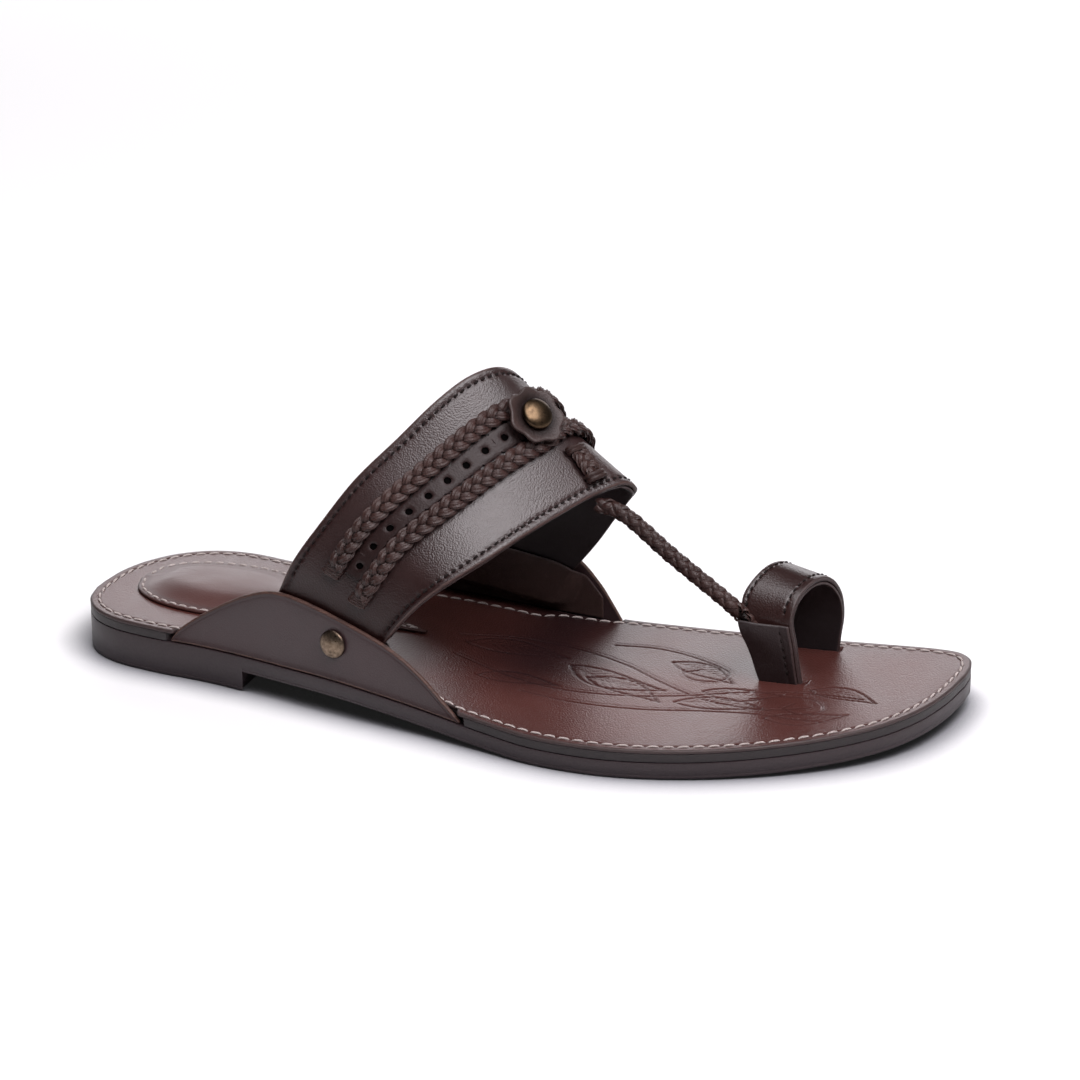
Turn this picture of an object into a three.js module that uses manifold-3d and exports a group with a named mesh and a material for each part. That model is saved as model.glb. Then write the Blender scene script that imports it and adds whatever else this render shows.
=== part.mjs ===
// A right-foot leather toe-loop sandal (chappal), in millimetres.
// +X runs from heel to toe, +Y points to the medial (big toe) side, +Z is up.
// A moulded outsole carries a midsole and a leather footbed. Two side flaps rise from the sole edge,
// and a wide band is riveted into them over the instep. Two braids, a punched strip and a leather flower
// dress the band, and a braided cord ties it to a loop for the big toe.
import * as THREE from "three";
import Module from "manifold-3d";
import { mergeVertices } from "three/addons/utils/BufferGeometryUtils.js";

const wasm = await Module();
wasm.setup();

// ---------------------------------------------------------------- driving dimensions
const GAP = 0.3; // between pieces that touch
const TRIM_GAP = 0.5; // between the curved band and what lies on it
const STITCH_MARGIN = 3; // from the footbed's edge to its stitching
const LEATHER = 1.6; // flaps, band and loop
const LINING = 0.9;
const THREAD_RADIUS = 0.4;

const HEEL_TOP = 16; // footbed height above the ground at the heel
const BALL_TOP = 9.6; // and at the ball of the foot
const TOE_SPRING = 4; // rise of the toe tip
const ARCH_START_X = -57; // the footbed drops between these two stations
const ARCH_END_X = 34;
const SPRING_START_X = 63;
const TOE_X = 145;
const HEEL_BREAST_X = -78;

const FOOTBED = 1.2;
const MIDSOLE = 2.4;
const OUTSOLE = 5.4;
const MIDSOLE_TOP = FOOTBED + GAP; // depths below the footbed surface
const OUTSOLE_TOP = MIDSOLE_TOP + MIDSOLE + GAP;
const OUTSOLE_BOTTOM = OUTSOLE_TOP + OUTSOLE;

const FLAP_RECESS = LEATHER + 5 * GAP; // the upper layers step in by this much beside a flap
const FLAP_LEAN = 0.08; // inward travel per millimetre of height
const RIVET_CAP_RADIUS = 4.6;
const RIVET_POST_RADIUS = 1.6;
const RIVET_HOLE_RADIUS = 2;

const STRIP = 0.8;
const HOLE_RADIUS = 1.45;
const BRAID_WIDTH = 5.6;
const BRAID_THICK = 3.2;
const FLOWER_RADIUS = 9.6;
const FLOWER_THICK = 1.8;
const FLOWER_PETALS = 7;
const SCALLOP = 0.16; // depth of the notches between petals, as a share of the radius
const STUD_RADIUS = 5.2;
const STUD_DOME = 2.2;
const CORD_RADIUS = 2.7;
const CORD_TAIL = 2; // thickness of the cord's flattened end

const THREAD_CORNERS = 4; // sides of a thread's section
const PAD_X = [-133.4, -27]; // the heel pad, from its round back to its pointed tip
const PAD_FLANGE = 3; // the pad's stitched border
const PAD_CROWN = 2.8; // rise of the pad's filled middle
const PAD_STEP = 0.6; // rise of the pad's cover over the edge of its foam

// ---------------------------------------------------------------- small helpers
const point = (x, y, z = 0) => new THREE.Vector3(x, y, z);
const clamp01 = (t) => Math.min(1, Math.max(0, t));
const lerp = THREE.MathUtils.lerp;
const smooth = (t) => clamp01(t) ** 2 * (3 - 2 * clamp01(t));
const eased = (t) => 0.5 - 0.5 * Math.cos(Math.PI * t);
const curve = (points, closed = false) =>
  new THREE.CatmullRomCurve3(points.map((p) => point(...p)), closed, "centripetal");

// A function y(x) through [x, y] pairs, straight between them.
function along(pairs) {
  return (x) => {
    const last = pairs.length - 1;
    if (x <= pairs[0][0]) return pairs[0][1];
    if (x >= pairs[last][0]) return pairs[last][1];
    const i = pairs.findIndex((p) => p[0] > x);
    const [x0, y0] = pairs[i - 1];
    const [x1, y1] = pairs[i];
    return lerp(y0, y1, (x - x0) / (x1 - x0));
  };
}

// A smooth curve through [x, y] pairs, read as y(x).
const smoothAlong = (pairs) => along(curve(pairs).getPoints(200).map((p) => [p.x, p.y]));

function signedVolume(geometry) {
  const { array } = geometry.attributes.position;
  const corner = (i) => point(array[3 * i], array[3 * i + 1], array[3 * i + 2]);
  const { index } = geometry;
  let volume = 0;
  for (let i = 0; i < index.count; i += 3) {
    const [a, b, c] = [0, 1, 2].map((k) => corner(index.getX(i + k)));
    volume += a.dot(b.cross(c)) / 6;
  }
  return volume;
}

// One closed mesh with shared corners and its faces pointing out.
function sealed(geometry) {
  const bare = new THREE.BufferGeometry();
  bare.setAttribute("position", geometry.getAttribute("position"));
  if (geometry.index) bare.setIndex(geometry.index);
  const merged = mergeVertices(bare, 1e-3);
  if (signedVolume(merged) < 0) merged.index.array.reverse();
  return merged;
}

// A box of nu by nv by nw cells, each corner (u, v, w), from 0 to 1, moved to place(u, v, w).
function warpedBox(nu, nv, nw, place) {
  const box = new THREE.BoxGeometry(1, 1, 1, nu, nv, nw);
  const position = box.attributes.position;
  for (let i = 0; i < position.count; i++) {
    const p = place(position.getX(i) + 0.5, position.getY(i) + 0.5, position.getZ(i) + 0.5);
    position.setXYZ(i, p.x, p.y, p.z);
  }
  return sealed(box);
}

function solid(geometry) {
  const { attributes, index } = sealed(geometry);
  const vertProperties = new Float32Array(attributes.position.array);
  const triVerts = new Uint32Array(index.array);
  return new wasm.Manifold(new wasm.Mesh({ numProp: 3, vertProperties, triVerts }));
}

function geometryOf(manifold) {
  const { vertProperties, triVerts } = manifold.getMesh();
  const geometry = new THREE.BufferGeometry();
  geometry.setAttribute("position", new THREE.BufferAttribute(vertProperties, 3));
  return geometry.setIndex(new THREE.BufferAttribute(triVerts, 1));
}

const cut = (geometry, ...tools) =>
  geometryOf(tools.reduce((left, tool) => left.subtract(solid(tool)), solid(geometry)));
const join = (...parts) => geometryOf(parts.map(solid).reduce((all, part) => all.add(part)));

// A turned shape about the line through origin along axis; profile is [radius, height] pairs.
function turned(profile, origin, axis, sides = 24) {
  const lathe = new THREE.LatheGeometry(profile.map(([r, h]) => new THREE.Vector2(r, h)), sides);
  const turn = new THREE.Quaternion().setFromUnitVectors(point(0, 1, 0), axis.clone().normalize());
  return sealed(lathe.applyQuaternion(turn).translate(origin.x, origin.y, origin.z));
}

const rod = (origin, axis, radius, low, high, sides) =>
  turned([[0, low], [radius, low], [radius, high], [0, high]], origin, axis, sides);

// A round bar of unit radius, each point (x, y) of its section at t, from 0 to 1, moved to place(t, x, y).
function warpedBar(sides, steps, place) {
  const bar = new THREE.CylinderGeometry(1, 1, 1, sides, steps);
  const position = bar.attributes.position;
  for (let i = 0; i < position.count; i++) {
    const p = place(position.getY(i) + 0.5, position.getX(i), position.getZ(i));
    position.setXYZ(i, p.x, p.y, p.z);
  }
  return sealed(bar);
}

// ---------------------------------------------------------------- sole
// Height of the footbed's surface above the ground.
function footbedTop(x) {
  const drop = eased(clamp01((x - ARCH_START_X) / (ARCH_END_X - ARCH_START_X)));
  const spring = clamp01((x - SPRING_START_X) / (TOE_X - SPRING_START_X));
  return lerp(HEEL_TOP, BALL_TOP, drop) + TOE_SPRING * spring ** 2;
}

// The sole's edge in plan, from the back of the heel to the tip of the toe.
const LATERAL_EDGE = [
  [-144.9, -1], [-142.6, -10], [-137, -17.6], [-128, -23], [-112, -26.4], [-94, -28], [-76, -31],
  [-55, -35.8], [-33, -40], [-10, -43.8], [10, -48], [28, -52], [45, -53], [58, -51.6], [76, -46.6],
  [93, -39.2], [108, -30.4], [121, -20.6], [131, -10], [138, 2], [142.6, 16], [145, 31],
];
const MEDIAL_EDGE = [
  [-144.9, 5], [-143.6, 16], [-139.5, 27], [-132, 37], [-122, 43.4], [-110, 45.6], [-97, 44],
  [-84, 41.6], [-70, 40.4], [-55, 40.9], [-38, 42.6], [-18, 44.6], [4, 46.2], [28, 47.4], [52, 49],
  [76, 51], [98, 52.4], [118, 52.8], [131, 52], [139, 49.6], [143.4, 44.6], [145, 38.6],
];
const lateralEdge = smoothAlong(LATERAL_EDGE);
const medialEdge = smoothAlong(MEDIAL_EDGE);
const HEEL_X = LATERAL_EDGE[0][0];

// [x, lateral y, medial y] at a station from 0, the heel, to 1, the toe.
function station(t, insetLateral, insetMedial) {
  const shrink = Math.min(insetLateral(0), insetMedial(0));
  const edgeX = lerp(HEEL_X, TOE_X, t);
  const x = lerp(HEEL_X + shrink, TOE_X - shrink, t);
  return [x, lateralEdge(edgeX) + insetLateral(x), medialEdge(edgeX) - insetMedial(x)];
}

// A layer of the sole between two heights, from one station to another.
function soleLayer({ upper, lower, inset = [() => 0, () => 0], to = 1 }) {
  const cells = Math.round(56 * to);
  return warpedBox(cells, 1, 1, (u, v, w) => {
    const [x, lateral, medial] = station(to * lerp(u, eased(u), 0.6), ...inset);
    return point(x, lerp(lateral, medial, v), lerp(lower(x), upper(x), w));
  });
}

// How far the upper layers step in beside a flap that spans fromX to toX.
const recess = (fromX, toX) => (x) =>
  FLAP_RECESS * smooth((x - fromX + 16) / 8) * smooth((toX + 16 - x) / 8);

// ---------------------------------------------------------------- flaps
// The flap's upper edge, as [x, height above the ground] pairs from its rear corner to its front one.
const LATERAL_FLAP = {
  side: -1,
  edge: lateralEdge,
  crest: [
    [-105, 12.6], [-102.8, 15.8], [-97.6, 20.2], [-89, 26], [-77, 32.6], [-67, 36], [-57, 35.8], [-40, 32],
    [-23, 26.4], [-12, 20], [-4, 13.6], [3, 8],
  ],
  bandEnd: { rear: [-70.5, 25], front: [-33, 17.5] },
  rivet: [-43, 24],
};
const MEDIAL_FLAP = {
  side: 1,
  edge: medialEdge,
  crest: [
    [-76, 12.6], [-69, 20.6], [-60, 28.6], [-48, 35.6], [-38, 38.6], [-28, 38.6], [-8, 35.8],
    [9.6, 31.2], [17.6, 22.8], [22.4, 15], [26.4, 7.6],
  ],
  bandEnd: { rear: [-38, 25], front: [2, 17.5] },
  rivet: [-12, 25],
};
const BAND_DEPTH = LEATHER + 2 * GAP; // from a flap's outer face to the band's outer face
const FLANGE = 0.6; // the rivet's foot, under the flap's lining
const BOW = 0.8; // the flap bows out from the band's straight end
const FOOT_DEPTH = BAND_DEPTH + LEATHER + GAP + BOW;
const COVERED_DEPTH = FOOT_DEPTH + FLANGE + 2 * GAP; // to the lining where it covers the band

// A point on a flap, depth millimetres in from its outer face.
function flapPoint({ side, edge }, x, z, depth) {
  const rise = z - footbedTop(x) + OUTSOLE_TOP;
  return point(x, edge(x) - side * (GAP + FLAP_LEAN * rise + depth), z);
}

// The rivet's seat on the flap's outer face, and the direction that it faces.
function rivetSeat(flap) {
  const [x, z] = flap.rivet;
  const at = flapPoint(flap, x, z, 0);
  const ahead = flapPoint(flap, x + 4, z, 0).sub(at);
  const above = flapPoint(flap, x, z + 4, 0).sub(at);
  const normal = ahead.cross(above).normalize();
  if (normal.y * flap.side < 0) normal.negate();
  return { at, normal };
}

// Depth of the flap lining's outer face: it swells over the end of the band.
function liningDepth({ bandEnd: { rear, front } }, x, z) {
  const lean = 0.5; // forward travel of the band's edges per millimetre of height
  const swell = 7;
  const fromRear = x - rear[0] - lean * (z - rear[1]) + swell + 2;
  const fromFront = front[0] + lean * (z - front[1]) - x + swell + 2;
  const floor = lerp(rear[1], front[1], clamp01((x - rear[0]) / (front[0] - rear[0])));
  const over = smooth(fromRear / swell) * smooth(fromFront / swell) * smooth((z - floor + 6) / 5);
  return lerp(LEATHER + GAP, COVERED_DEPTH, over);
}

function flapSheet(flap, { floor, depth, thick, trim = 0, cells }) {
  const crest = smoothAlong(flap.crest);
  const fromX = flap.crest[0][0] + trim;
  const toX = flap.crest[flap.crest.length - 1][0] - trim;
  return warpedBox(...cells, 1, (u, v, w) => {
    const x = lerp(fromX, toX, u);
    const low = floor(x);
    const z = lerp(low, Math.max(low + 0.5, crest(x) - trim / 3), v);
    return flapPoint(flap, x, z, depth(x, z) + w * thick);
  });
}

// ---------------------------------------------------------------- straps
// A strap between two edge curves: strap(u, v, w) is u along it, v from rear to front, w out of its face.
function strapBetween(rear, front) {
  const face = (u, v) => rear.getPointAt(clamp01(u)).lerp(front.getPointAt(clamp01(u)), v);
  const step = 0.01;
  const normal = (u, v) => {
    const lengthwise = face(u + step, v).sub(face(u - step, v));
    const across = face(u, v + step).sub(face(u, v - step));
    return across.cross(lengthwise).normalize();
  };
  const strap = (u, v, w = 0) => face(u, v).addScaledVector(normal(u, v), w);
  return Object.assign(strap, { normal, width: (u) => face(u, 0).distanceTo(face(u, 1)) });
}

// A sheet on a strap. Its lower face is low(a, b) above the strap's own, for a and b from 0 to 1.
function strapSheet(strap, { u: [u0, u1], v: [v0, v1], low, thick, cells }) {
  const lift = typeof low === "function" ? low : () => low;
  const across = typeof v0 === "function" ? [v0, v1] : [() => v0, () => v1];
  return warpedBox(...cells, 1, (a, b, w) => {
    const u = lerp(u0, u1, a);
    return strap(u, lerp(across[0](u), across[1](u), b), lift(a, b) + w * thick);
  });
}

// A round or oval bar along a strap: v(u) is its centre line and height that of its underside.
function strapBar(strap, { u: [u0, u1], v, height, wide, thick, sides = 6, steps }) {
  const centre = typeof v === "function" ? v : () => v;
  return warpedBar(sides, steps, (t, x, y) => {
    const u = lerp(u0, u1, t);
    return strap(u, centre(u) + (x * wide) / 2 / strap.width(u), height + ((1 + y) * thick) / 2);
  });
}

// The band's two edges over the instep, from the lateral end to the medial end.
const bandFoot = (flap, [x, z]) => flapPoint(flap, x, z, BAND_DEPTH).toArray();
const BAND_REAR = curve([
  bandFoot(LATERAL_FLAP, LATERAL_FLAP.bandEnd.rear),
  bandFoot(LATERAL_FLAP, [-65.6, 35]),
  [-59, -30.6, 48], [-50.5, -27.5, 61], [-41, -22, 74.5], [-30, -13.6, 86.5], [-20, -4, 97.5],
  [-12.6, 5, 103.4], [-7, 14, 104.4], [-4, 22.6, 100.6], [-3.4, 31, 92], [-6.4, 36.4, 80],
  [-12.5, 38.8, 66], [-20, 39.2, 52],
  bandFoot(MEDIAL_FLAP, [-30, 38]),
  bandFoot(MEDIAL_FLAP, MEDIAL_FLAP.bandEnd.rear),
]);
const BAND_FRONT = curve([
  bandFoot(LATERAL_FLAP, LATERAL_FLAP.bandEnd.front),
  bandFoot(LATERAL_FLAP, [-26, 26]),
  [-20, -38.4, 34], [-13, -38.4, 42], [-6.5, -36.5, 47.8], [4, -28, 54.6], [12, -17, 59.4],
  [20.6, -3, 63.6], [28, 10, 66.8], [34.6, 21, 68], [36, 28.6, 63.6], [31.4, 34.4, 57],
  [26, 38, 49.6], [20.2, 40, 41],
  bandFoot(MEDIAL_FLAP, [11.6, 30]),
  bandFoot(MEDIAL_FLAP, MEDIAL_FLAP.bandEnd.front),
]);
const band = strapBetween(BAND_REAR, BAND_FRONT);

// The two edges of the loop round the big toe, from the lateral leg to the medial one.
const LOOP_REAR = curve([
  [84, 14, 6.6], [81.8, 14, 12], [78.6, 14, 22], [75.8, 14.3, 30], [75, 17, 36], [76.8, 21.6, 40.4],
  [80, 28.4, 43.4], [83, 35.6, 42.4], [84.8, 41.6, 36.6], [85.2, 45.4, 27], [84.4, 46.4, 16],
  [84, 46.4, 6.6],
]);
const LOOP_FRONT = curve([
  [96.4, 14, 6.6], [95.2, 14, 12], [93.6, 14, 22], [92, 14.6, 30.6], [92.6, 17, 35.6],
  [93.8, 21, 38.8], [96.6, 29, 40.6], [99, 37, 38], [100.8, 43, 31.4], [101.2, 45.8, 23],
  [100.2, 46.4, 14], [99.6, 46.4, 6.8],
]);
const loop = strapBetween(LOOP_REAR, LOOP_FRONT);

// ---------------------------------------------------------------- the group and its finishes
const sandal = new THREE.Group();
const FINISHES = {
  rubber: { color: 0x3a2a2a, roughness: 0.75 },
  edge: { color: 0x33241f, roughness: 0.7 },
  footbed: { color: 0x6b4038, roughness: 0.5 },
  leather: { color: 0x4a3230, roughness: 0.5 },
  lining: { color: 0x1c191b, roughness: 0.8 },
  braid: { color: 0x50342f, roughness: 0.55 },
  foam: { color: 0xd8c9b0, roughness: 0.9 },
  creamThread: { color: 0xc9bdb2, roughness: 0.8 },
  brownThread: { color: 0x241817, roughness: 0.8 },
  brass: { color: 0x8c7448, roughness: 0.35, metalness: 1 },
};

function add(name, finish, geometry) {
  const mesh = new THREE.Mesh(geometry, new THREE.MeshStandardMaterial(FINISHES[finish]));
  mesh.name = name;
  sandal.add(mesh);
}

// ---------------------------------------------------------------- the sole's pieces
function addSole() {
  const depthBelow = (depth) => (x) => footbedTop(x) - depth;
  const upsole = [
    recess(LATERAL_FLAP.crest[0][0], LATERAL_FLAP.crest.at(-1)[0]),
    recess(MEDIAL_FLAP.crest[0][0], MEDIAL_FLAP.crest.at(-1)[0]),
  ];
  const slots = [0, 1].map((end) => loopSlot(end));

  // The heel block and the long outsole are one moulding.
  const tread = soleLayer({ upper: depthBelow(OUTSOLE_TOP), lower: depthBelow(OUTSOLE_BOTTOM) });
  const heel = soleLayer({
    upper: depthBelow(OUTSOLE_TOP + 1),
    lower: () => 0,
    inset: [() => 0.5, () => 0.5],
    to: (HEEL_BREAST_X - HEEL_X) / (TOE_X - HEEL_X),
  });
  add("outsole", "rubber", join(tread, heel));

  const midsole = soleLayer({
    upper: depthBelow(MIDSOLE_TOP),
    lower: depthBelow(MIDSOLE_TOP + MIDSOLE),
    inset: upsole,
  });
  add("midsole", "edge", cut(midsole, ...slots));

  const cover = soleLayer({ upper: depthBelow(0), lower: depthBelow(FOOTBED), inset: upsole });
  add("footbed_cover", "footbed", cut(cover, ...slots));
  add("footbed_thread", "creamThread", footbedThread());
}

// The stitching round the footbed, left open for one stitch at the back of the heel.
function footbedThread() {
  const behindLining = COVERED_DEPTH + LINING + 2.6 - STITCH_MARGIN;
  const inset = ({ crest }) => (x) => {
    const clear = smooth((x - crest[0][0] + 8) / 12) * smooth((crest.at(-1)[0] + 8 - x) / 12);
    return STITCH_MARGIN + behindLining * clear;
  };
  const sides = [
    { edge: lateralEdge, inset: inset(LATERAL_FLAP), inward: 1 },
    { edge: medialEdge, inset: inset(MEDIAL_FLAP), inward: -1 },
  ];
  const count = 32;
  const reach = 0.2; // the edge's slope is taken over this much to each side
  const rows = sides.map(({ edge, inset, inward }) =>
    Array.from({ length: count + 1 }, (_, i) => {
      const x = lerp(HEEL_X + reach, TOE_X - reach, eased(i / count));
      const slope = (edge(x + reach) - edge(x - reach)) / (2 * reach);
      const step = (inward * inset(x)) / Math.hypot(1, slope);
      return point(x - slope * step, edge(x) + step, footbedTop(x) + GAP + THREAD_RADIUS);
    }),
  );
  return threadAlong([...rows[0], ...rows[1].reverse()]);
}

function threadAlong(points) {
  const path = new THREE.CatmullRomCurve3(points, false, "centripetal");
  const steps = points.length;
  return warpedBar(THREAD_CORNERS, steps, (t, x, y) => {
    const tangent = path.getTangentAt(t);
    const across = point(-tangent.y, tangent.x).normalize();
    const upright = tangent.clone().cross(across);
    return path
      .getPointAt(t)
      .addScaledVector(across, x * THREAD_RADIUS)
      .addScaledVector(upright, y * THREAD_RADIUS);
  });
}

// ---------------------------------------------------------------- the heel pad
function addHeelPad() {
  const outline = {
    lateral: smoothAlong([
      [-133.4, 9], [-130.4, 1], [-121.5, -6.6], [-107, -11], [-92, -11.2], [-72, -7.6], [-50, -2.2],
      [-27, 1.4],
    ]),
    medial: smoothAlong([
      [-133.4, 14], [-130.8, 23], [-121.5, 30.2], [-107, 33], [-92, 31.6], [-72, 22], [-50, 10],
      [-27, 3.4],
    ]),
  };
  const [fromX, toX] = PAD_X;
  const at = (u, v, inset) => {
    const x = lerp(fromX + inset, toX - 4 * inset, eased(u));
    const low = outline.lateral(x) + inset;
    const high = Math.max(low + 0.4, outline.medial(x) - inset);
    const y = lerp(low, high, v);
    const ends = Math.min(x - fromX, (toX - x) / 3);
    const margin = Math.min(y - outline.lateral(x), outline.medial(x) - y, ends);
    const puff = PAD_CROWN * smooth((margin - PAD_FLANGE) / 11);
    return { x, y, puff, step: PAD_STEP * smooth(margin / 2.4) };
  };
  const layer = (inset, low, high) =>
    warpedBox(14, 6, 1, (u, v, w) => {
      const spot = at(u, v, inset);
      return point(spot.x, spot.y, footbedTop(spot.x) + lerp(low(spot), high(spot), w));
    });

  add(
    "heel_pad_foam",
    "foam",
    layer(PAD_FLANGE + 0.8, () => GAP, (spot) => GAP + 0.1 + 0.76 * spot.puff),
  );
  const underside = (spot) => GAP + spot.step + spot.puff;
  add("heel_pad_cover", "footbed", layer(0, underside, (spot) => underside(spot) + LINING));

  const count = 20;
  const row = (v) =>
    Array.from({ length: count + 1 }, (_, i) => {
      const spot = at(lerp(0.06, 0.97, i / count), v, 1.5);
      const top = underside(spot) + LINING + GAP + THREAD_RADIUS;
      return point(spot.x, spot.y, footbedTop(spot.x) + top);
    });
  add("heel_pad_thread", "creamThread", threadAlong([...row(0), ...row(1).reverse()]));
}

// ---------------------------------------------------------------- a flap with its rivet
function addFlap(side, flap) {
  const seam = (x) => footbedTop(x) - OUTSOLE_TOP + GAP;
  const { at, normal } = rivetSeat(flap);
  const hole = rod(at, normal, RIVET_HOLE_RADIUS, -6, 6, 12);

  const sheet = flapSheet(flap, { floor: seam, depth: () => 0, thick: LEATHER, cells: [26, 1] });
  add(`${side}_flap`, "leather", cut(sheet, hole));

  const lining = flapSheet(flap, {
    floor: (x) => footbedTop(x) + GAP,
    depth: (x, z) => liningDepth(flap, x, z),
    thick: LINING,
    trim: 7,
    cells: [24, 4],
  });
  add(`${side}_flap_lining`, "lining", lining);

  const cap = [
    [0, GAP], [RIVET_CAP_RADIUS, GAP], [RIVET_CAP_RADIUS, 0.9], [3.9, 1.5], [2.2, 2], [0, 2.2],
  ];
  add(`${side}_rivet_cap`, "brass", turned(cap, at, normal, 20));
  const post = [
    [0, -FOOT_DEPTH - FLANGE], [3.4, -FOOT_DEPTH - FLANGE], [3.4, -FOOT_DEPTH],
    [RIVET_POST_RADIUS, -FOOT_DEPTH], [RIVET_POST_RADIUS, 0], [0, 0],
  ];
  add(`${side}_rivet_post`, "brass", turned(post, at, normal, 12));
}

// ---------------------------------------------------------------- the band and its trim
function addBand() {
  const holes = [LATERAL_FLAP, MEDIAL_FLAP].map((flap) => {
    const { at, normal } = rivetSeat(flap);
    return rod(at, normal, RIVET_HOLE_RADIUS, -8, 2, 12);
  });
  const stud = { u: 0.53, v: 0.41 };
  const studAt = band(stud.u, stud.v);
  const studAxis = band.normal(stud.u, stud.v);
  const shankHole = rod(studAt, studAxis, RIVET_HOLE_RADIUS, -6, 6, 12);

  const outer = strapSheet(band, {
    u: [0, 1],
    v: [0, 1],
    low: -LEATHER,
    thick: LEATHER,
    cells: [40, 3],
  });
  add("vamp_band", "leather", cut(outer, ...holes, shankHole));
  const lining = strapSheet(band, {
    u: [0.075, 0.925],
    v: [0, 1],
    low: -LEATHER - GAP,
    thick: -LINING,
    cells: [34, 3],
  });
  add("vamp_lining", "lining", cut(lining, shankHole));

  const thread = {
    u: [0.09, 0.895],
    height: TRIM_GAP,
    wide: 1,
    thick: 2 * THREAD_RADIUS,
    sides: THREAD_CORNERS,
    steps: 34,
  };
  add("vamp_rear_thread", "brownThread", strapBar(band, { ...thread, v: 0.055 }));
  add("vamp_front_thread", "brownThread", strapBar(band, { ...thread, v: 0.945 }));

  // Two flat braids with a punched strip between them; short bindings sew their ends to the band.
  const trim = { rear: [0.15, 0.85], front: [0.13, 0.87] };
  const beyond = (u) => smooth((u - 0.52) / 0.07); // past the flower both braids lie further back
  const lanes = {
    rear: (u) => 0.29 + 0.04 * smooth((Math.abs(u - 0.5) - 0.27) / 0.1) - 0.04 * beyond(u),
    front: (u) => 0.57 + 0.06 * smooth((Math.abs(u - 0.5) - 0.25) / 0.12) - 0.06 * beyond(u),
  };
  const share = (length) => (u) => length / band.width(u);
  const half = share(BRAID_WIDTH / 2);
  for (const name of ["rear", "front"]) {
    const v = lanes[name];
    const shape = { v, height: TRIM_GAP, wide: BRAID_WIDTH, thick: BRAID_THICK, sides: 6, steps: 34 };
    add(`${name}_braid`, "braid", strapBar(band, { ...shape, u: trim[name] }));
    const binding = {
      v: [(u) => v(u) - half(u), (u) => v(u) + half(u)],
      low: TRIM_GAP,
      thick: 1.8,
      cells: [2, 1],
    };
    const ends = { lateral: [-0.019, -0.003], medial: [0.003, 0.019] };
    for (const [side, reach] of Object.entries(ends)) {
      const u = reach.map((d) => trim[name][side === "lateral" ? 0 : 1] + d);
      add(`${name}_braid_${side}_binding`, "brownThread", strapSheet(band, { ...binding, u }));
    }
  }
  const clear = share(BRAID_WIDTH / 2 + 2 * GAP);
  const strip = strapSheet(band, {
    u: trim.rear,
    v: [(u) => lanes.rear(u) + clear(u), (u) => lanes.front(u) - clear(u)],
    low: TRIM_GAP,
    thick: STRIP,
    cells: [28, 1],
  });
  const pitch = 0.0385;
  const punches = Array.from({ length: 18 }, (_, i) => 0.17 + pitch * i)
    .filter((u) => Math.abs(u - stud.u) > pitch)
    .map((u) => {
      const v = (lanes.rear(u) + lanes.front(u)) / 2;
      return rod(band(u, v), band.normal(u, v), HOLE_RADIUS, -1, 3, 8);
    });
  add("perforated_strip", "leather", cut(strip, ...punches, shankHole));

  addFlower(studAt, studAxis);
  addKeeper();
}

// A scalloped leather flower that turns on a domed stud. A washer inside the band holds the stud's shank.
function addFlower(at, axis) {
  const seat = TRIM_GAP + BRAID_THICK + GAP;
  const scallop = (angle) => {
    const notch = 1 - Math.abs(Math.cos((FLOWER_PETALS * angle) / 2));
    return FLOWER_RADIUS * (1 - SCALLOP * notch);
  };
  const corners = FLOWER_PETALS * 8;
  const outline = Array.from({ length: corners }, (_, i) => {
    const angle = (i / corners) * 2 * Math.PI;
    return new THREE.Vector2(scallop(angle) * Math.cos(angle), scallop(angle) * Math.sin(angle));
  });
  const shape = new THREE.Shape(outline);
  shape.holes.push(new THREE.Path().absarc(0, 0, RIVET_HOLE_RADIUS, 0, 2 * Math.PI, true));
  const turn = new THREE.Quaternion().setFromUnitVectors(point(0, 0, 1), axis);
  const sheet = { depth: FLOWER_THICK, bevelEnabled: false, curveSegments: 6 };
  const petals = new THREE.ExtrudeGeometry(shape, sheet)
    .translate(0, 0, seat)
    .applyQuaternion(turn)
    .translate(...at.toArray());
  add("flower_rosette", "leather", sealed(petals));

  const top = seat + FLOWER_THICK + GAP;
  const inside = -(LEATHER + GAP + LINING + TRIM_GAP);
  const stud = [
    [0, inside - 0.8], [RIVET_POST_RADIUS, inside - 0.8], [RIVET_POST_RADIUS, top], [STUD_RADIUS, top],
    [STUD_RADIUS, top + 0.25 * STUD_DOME], [4.2, top + 0.65 * STUD_DOME],
    [2.6, top + 0.9 * STUD_DOME], [0, top + STUD_DOME],
  ];
  add("flower_stud", "brass", turned(stud, at, axis, 20));
  const washer = [
    [RIVET_HOLE_RADIUS, inside - 0.8], [4, inside - 0.8], [4, inside], [RIVET_HOLE_RADIUS, inside],
  ];
  add("flower_stud_washer", "brass", turned([...washer, washer[0]], at, axis, 16));
}

// The plaited keeper that ties the toe cord down on the band, bound at both ends.
function addKeeper() {
  const u = 0.572;
  const lane = (from, to, wide, thick, height) => {
    const half = wide / 2;
    return warpedBar(8, 3, (t, x, y) => {
      const v = lerp(from, to, t);
      const spread = 0.01;
      const perU = band(u + spread, v).distanceTo(band(u - spread, v)) / (2 * spread);
      return band(u + (x * half) / perU, v, height + ((1 + y) * thick) / 2);
    });
  };
  add("cord_keeper", "braid", lane(0.712, 0.86, 5, 2.4, TRIM_GAP));
  add("keeper_rear_wrap", "braid", lane(0.66, 0.706, 6.4, 3.2, TRIM_GAP));
  add("keeper_front_wrap", "braid", lane(0.866, 0.924, 6.4, 3.2, TRIM_GAP));
}

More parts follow.
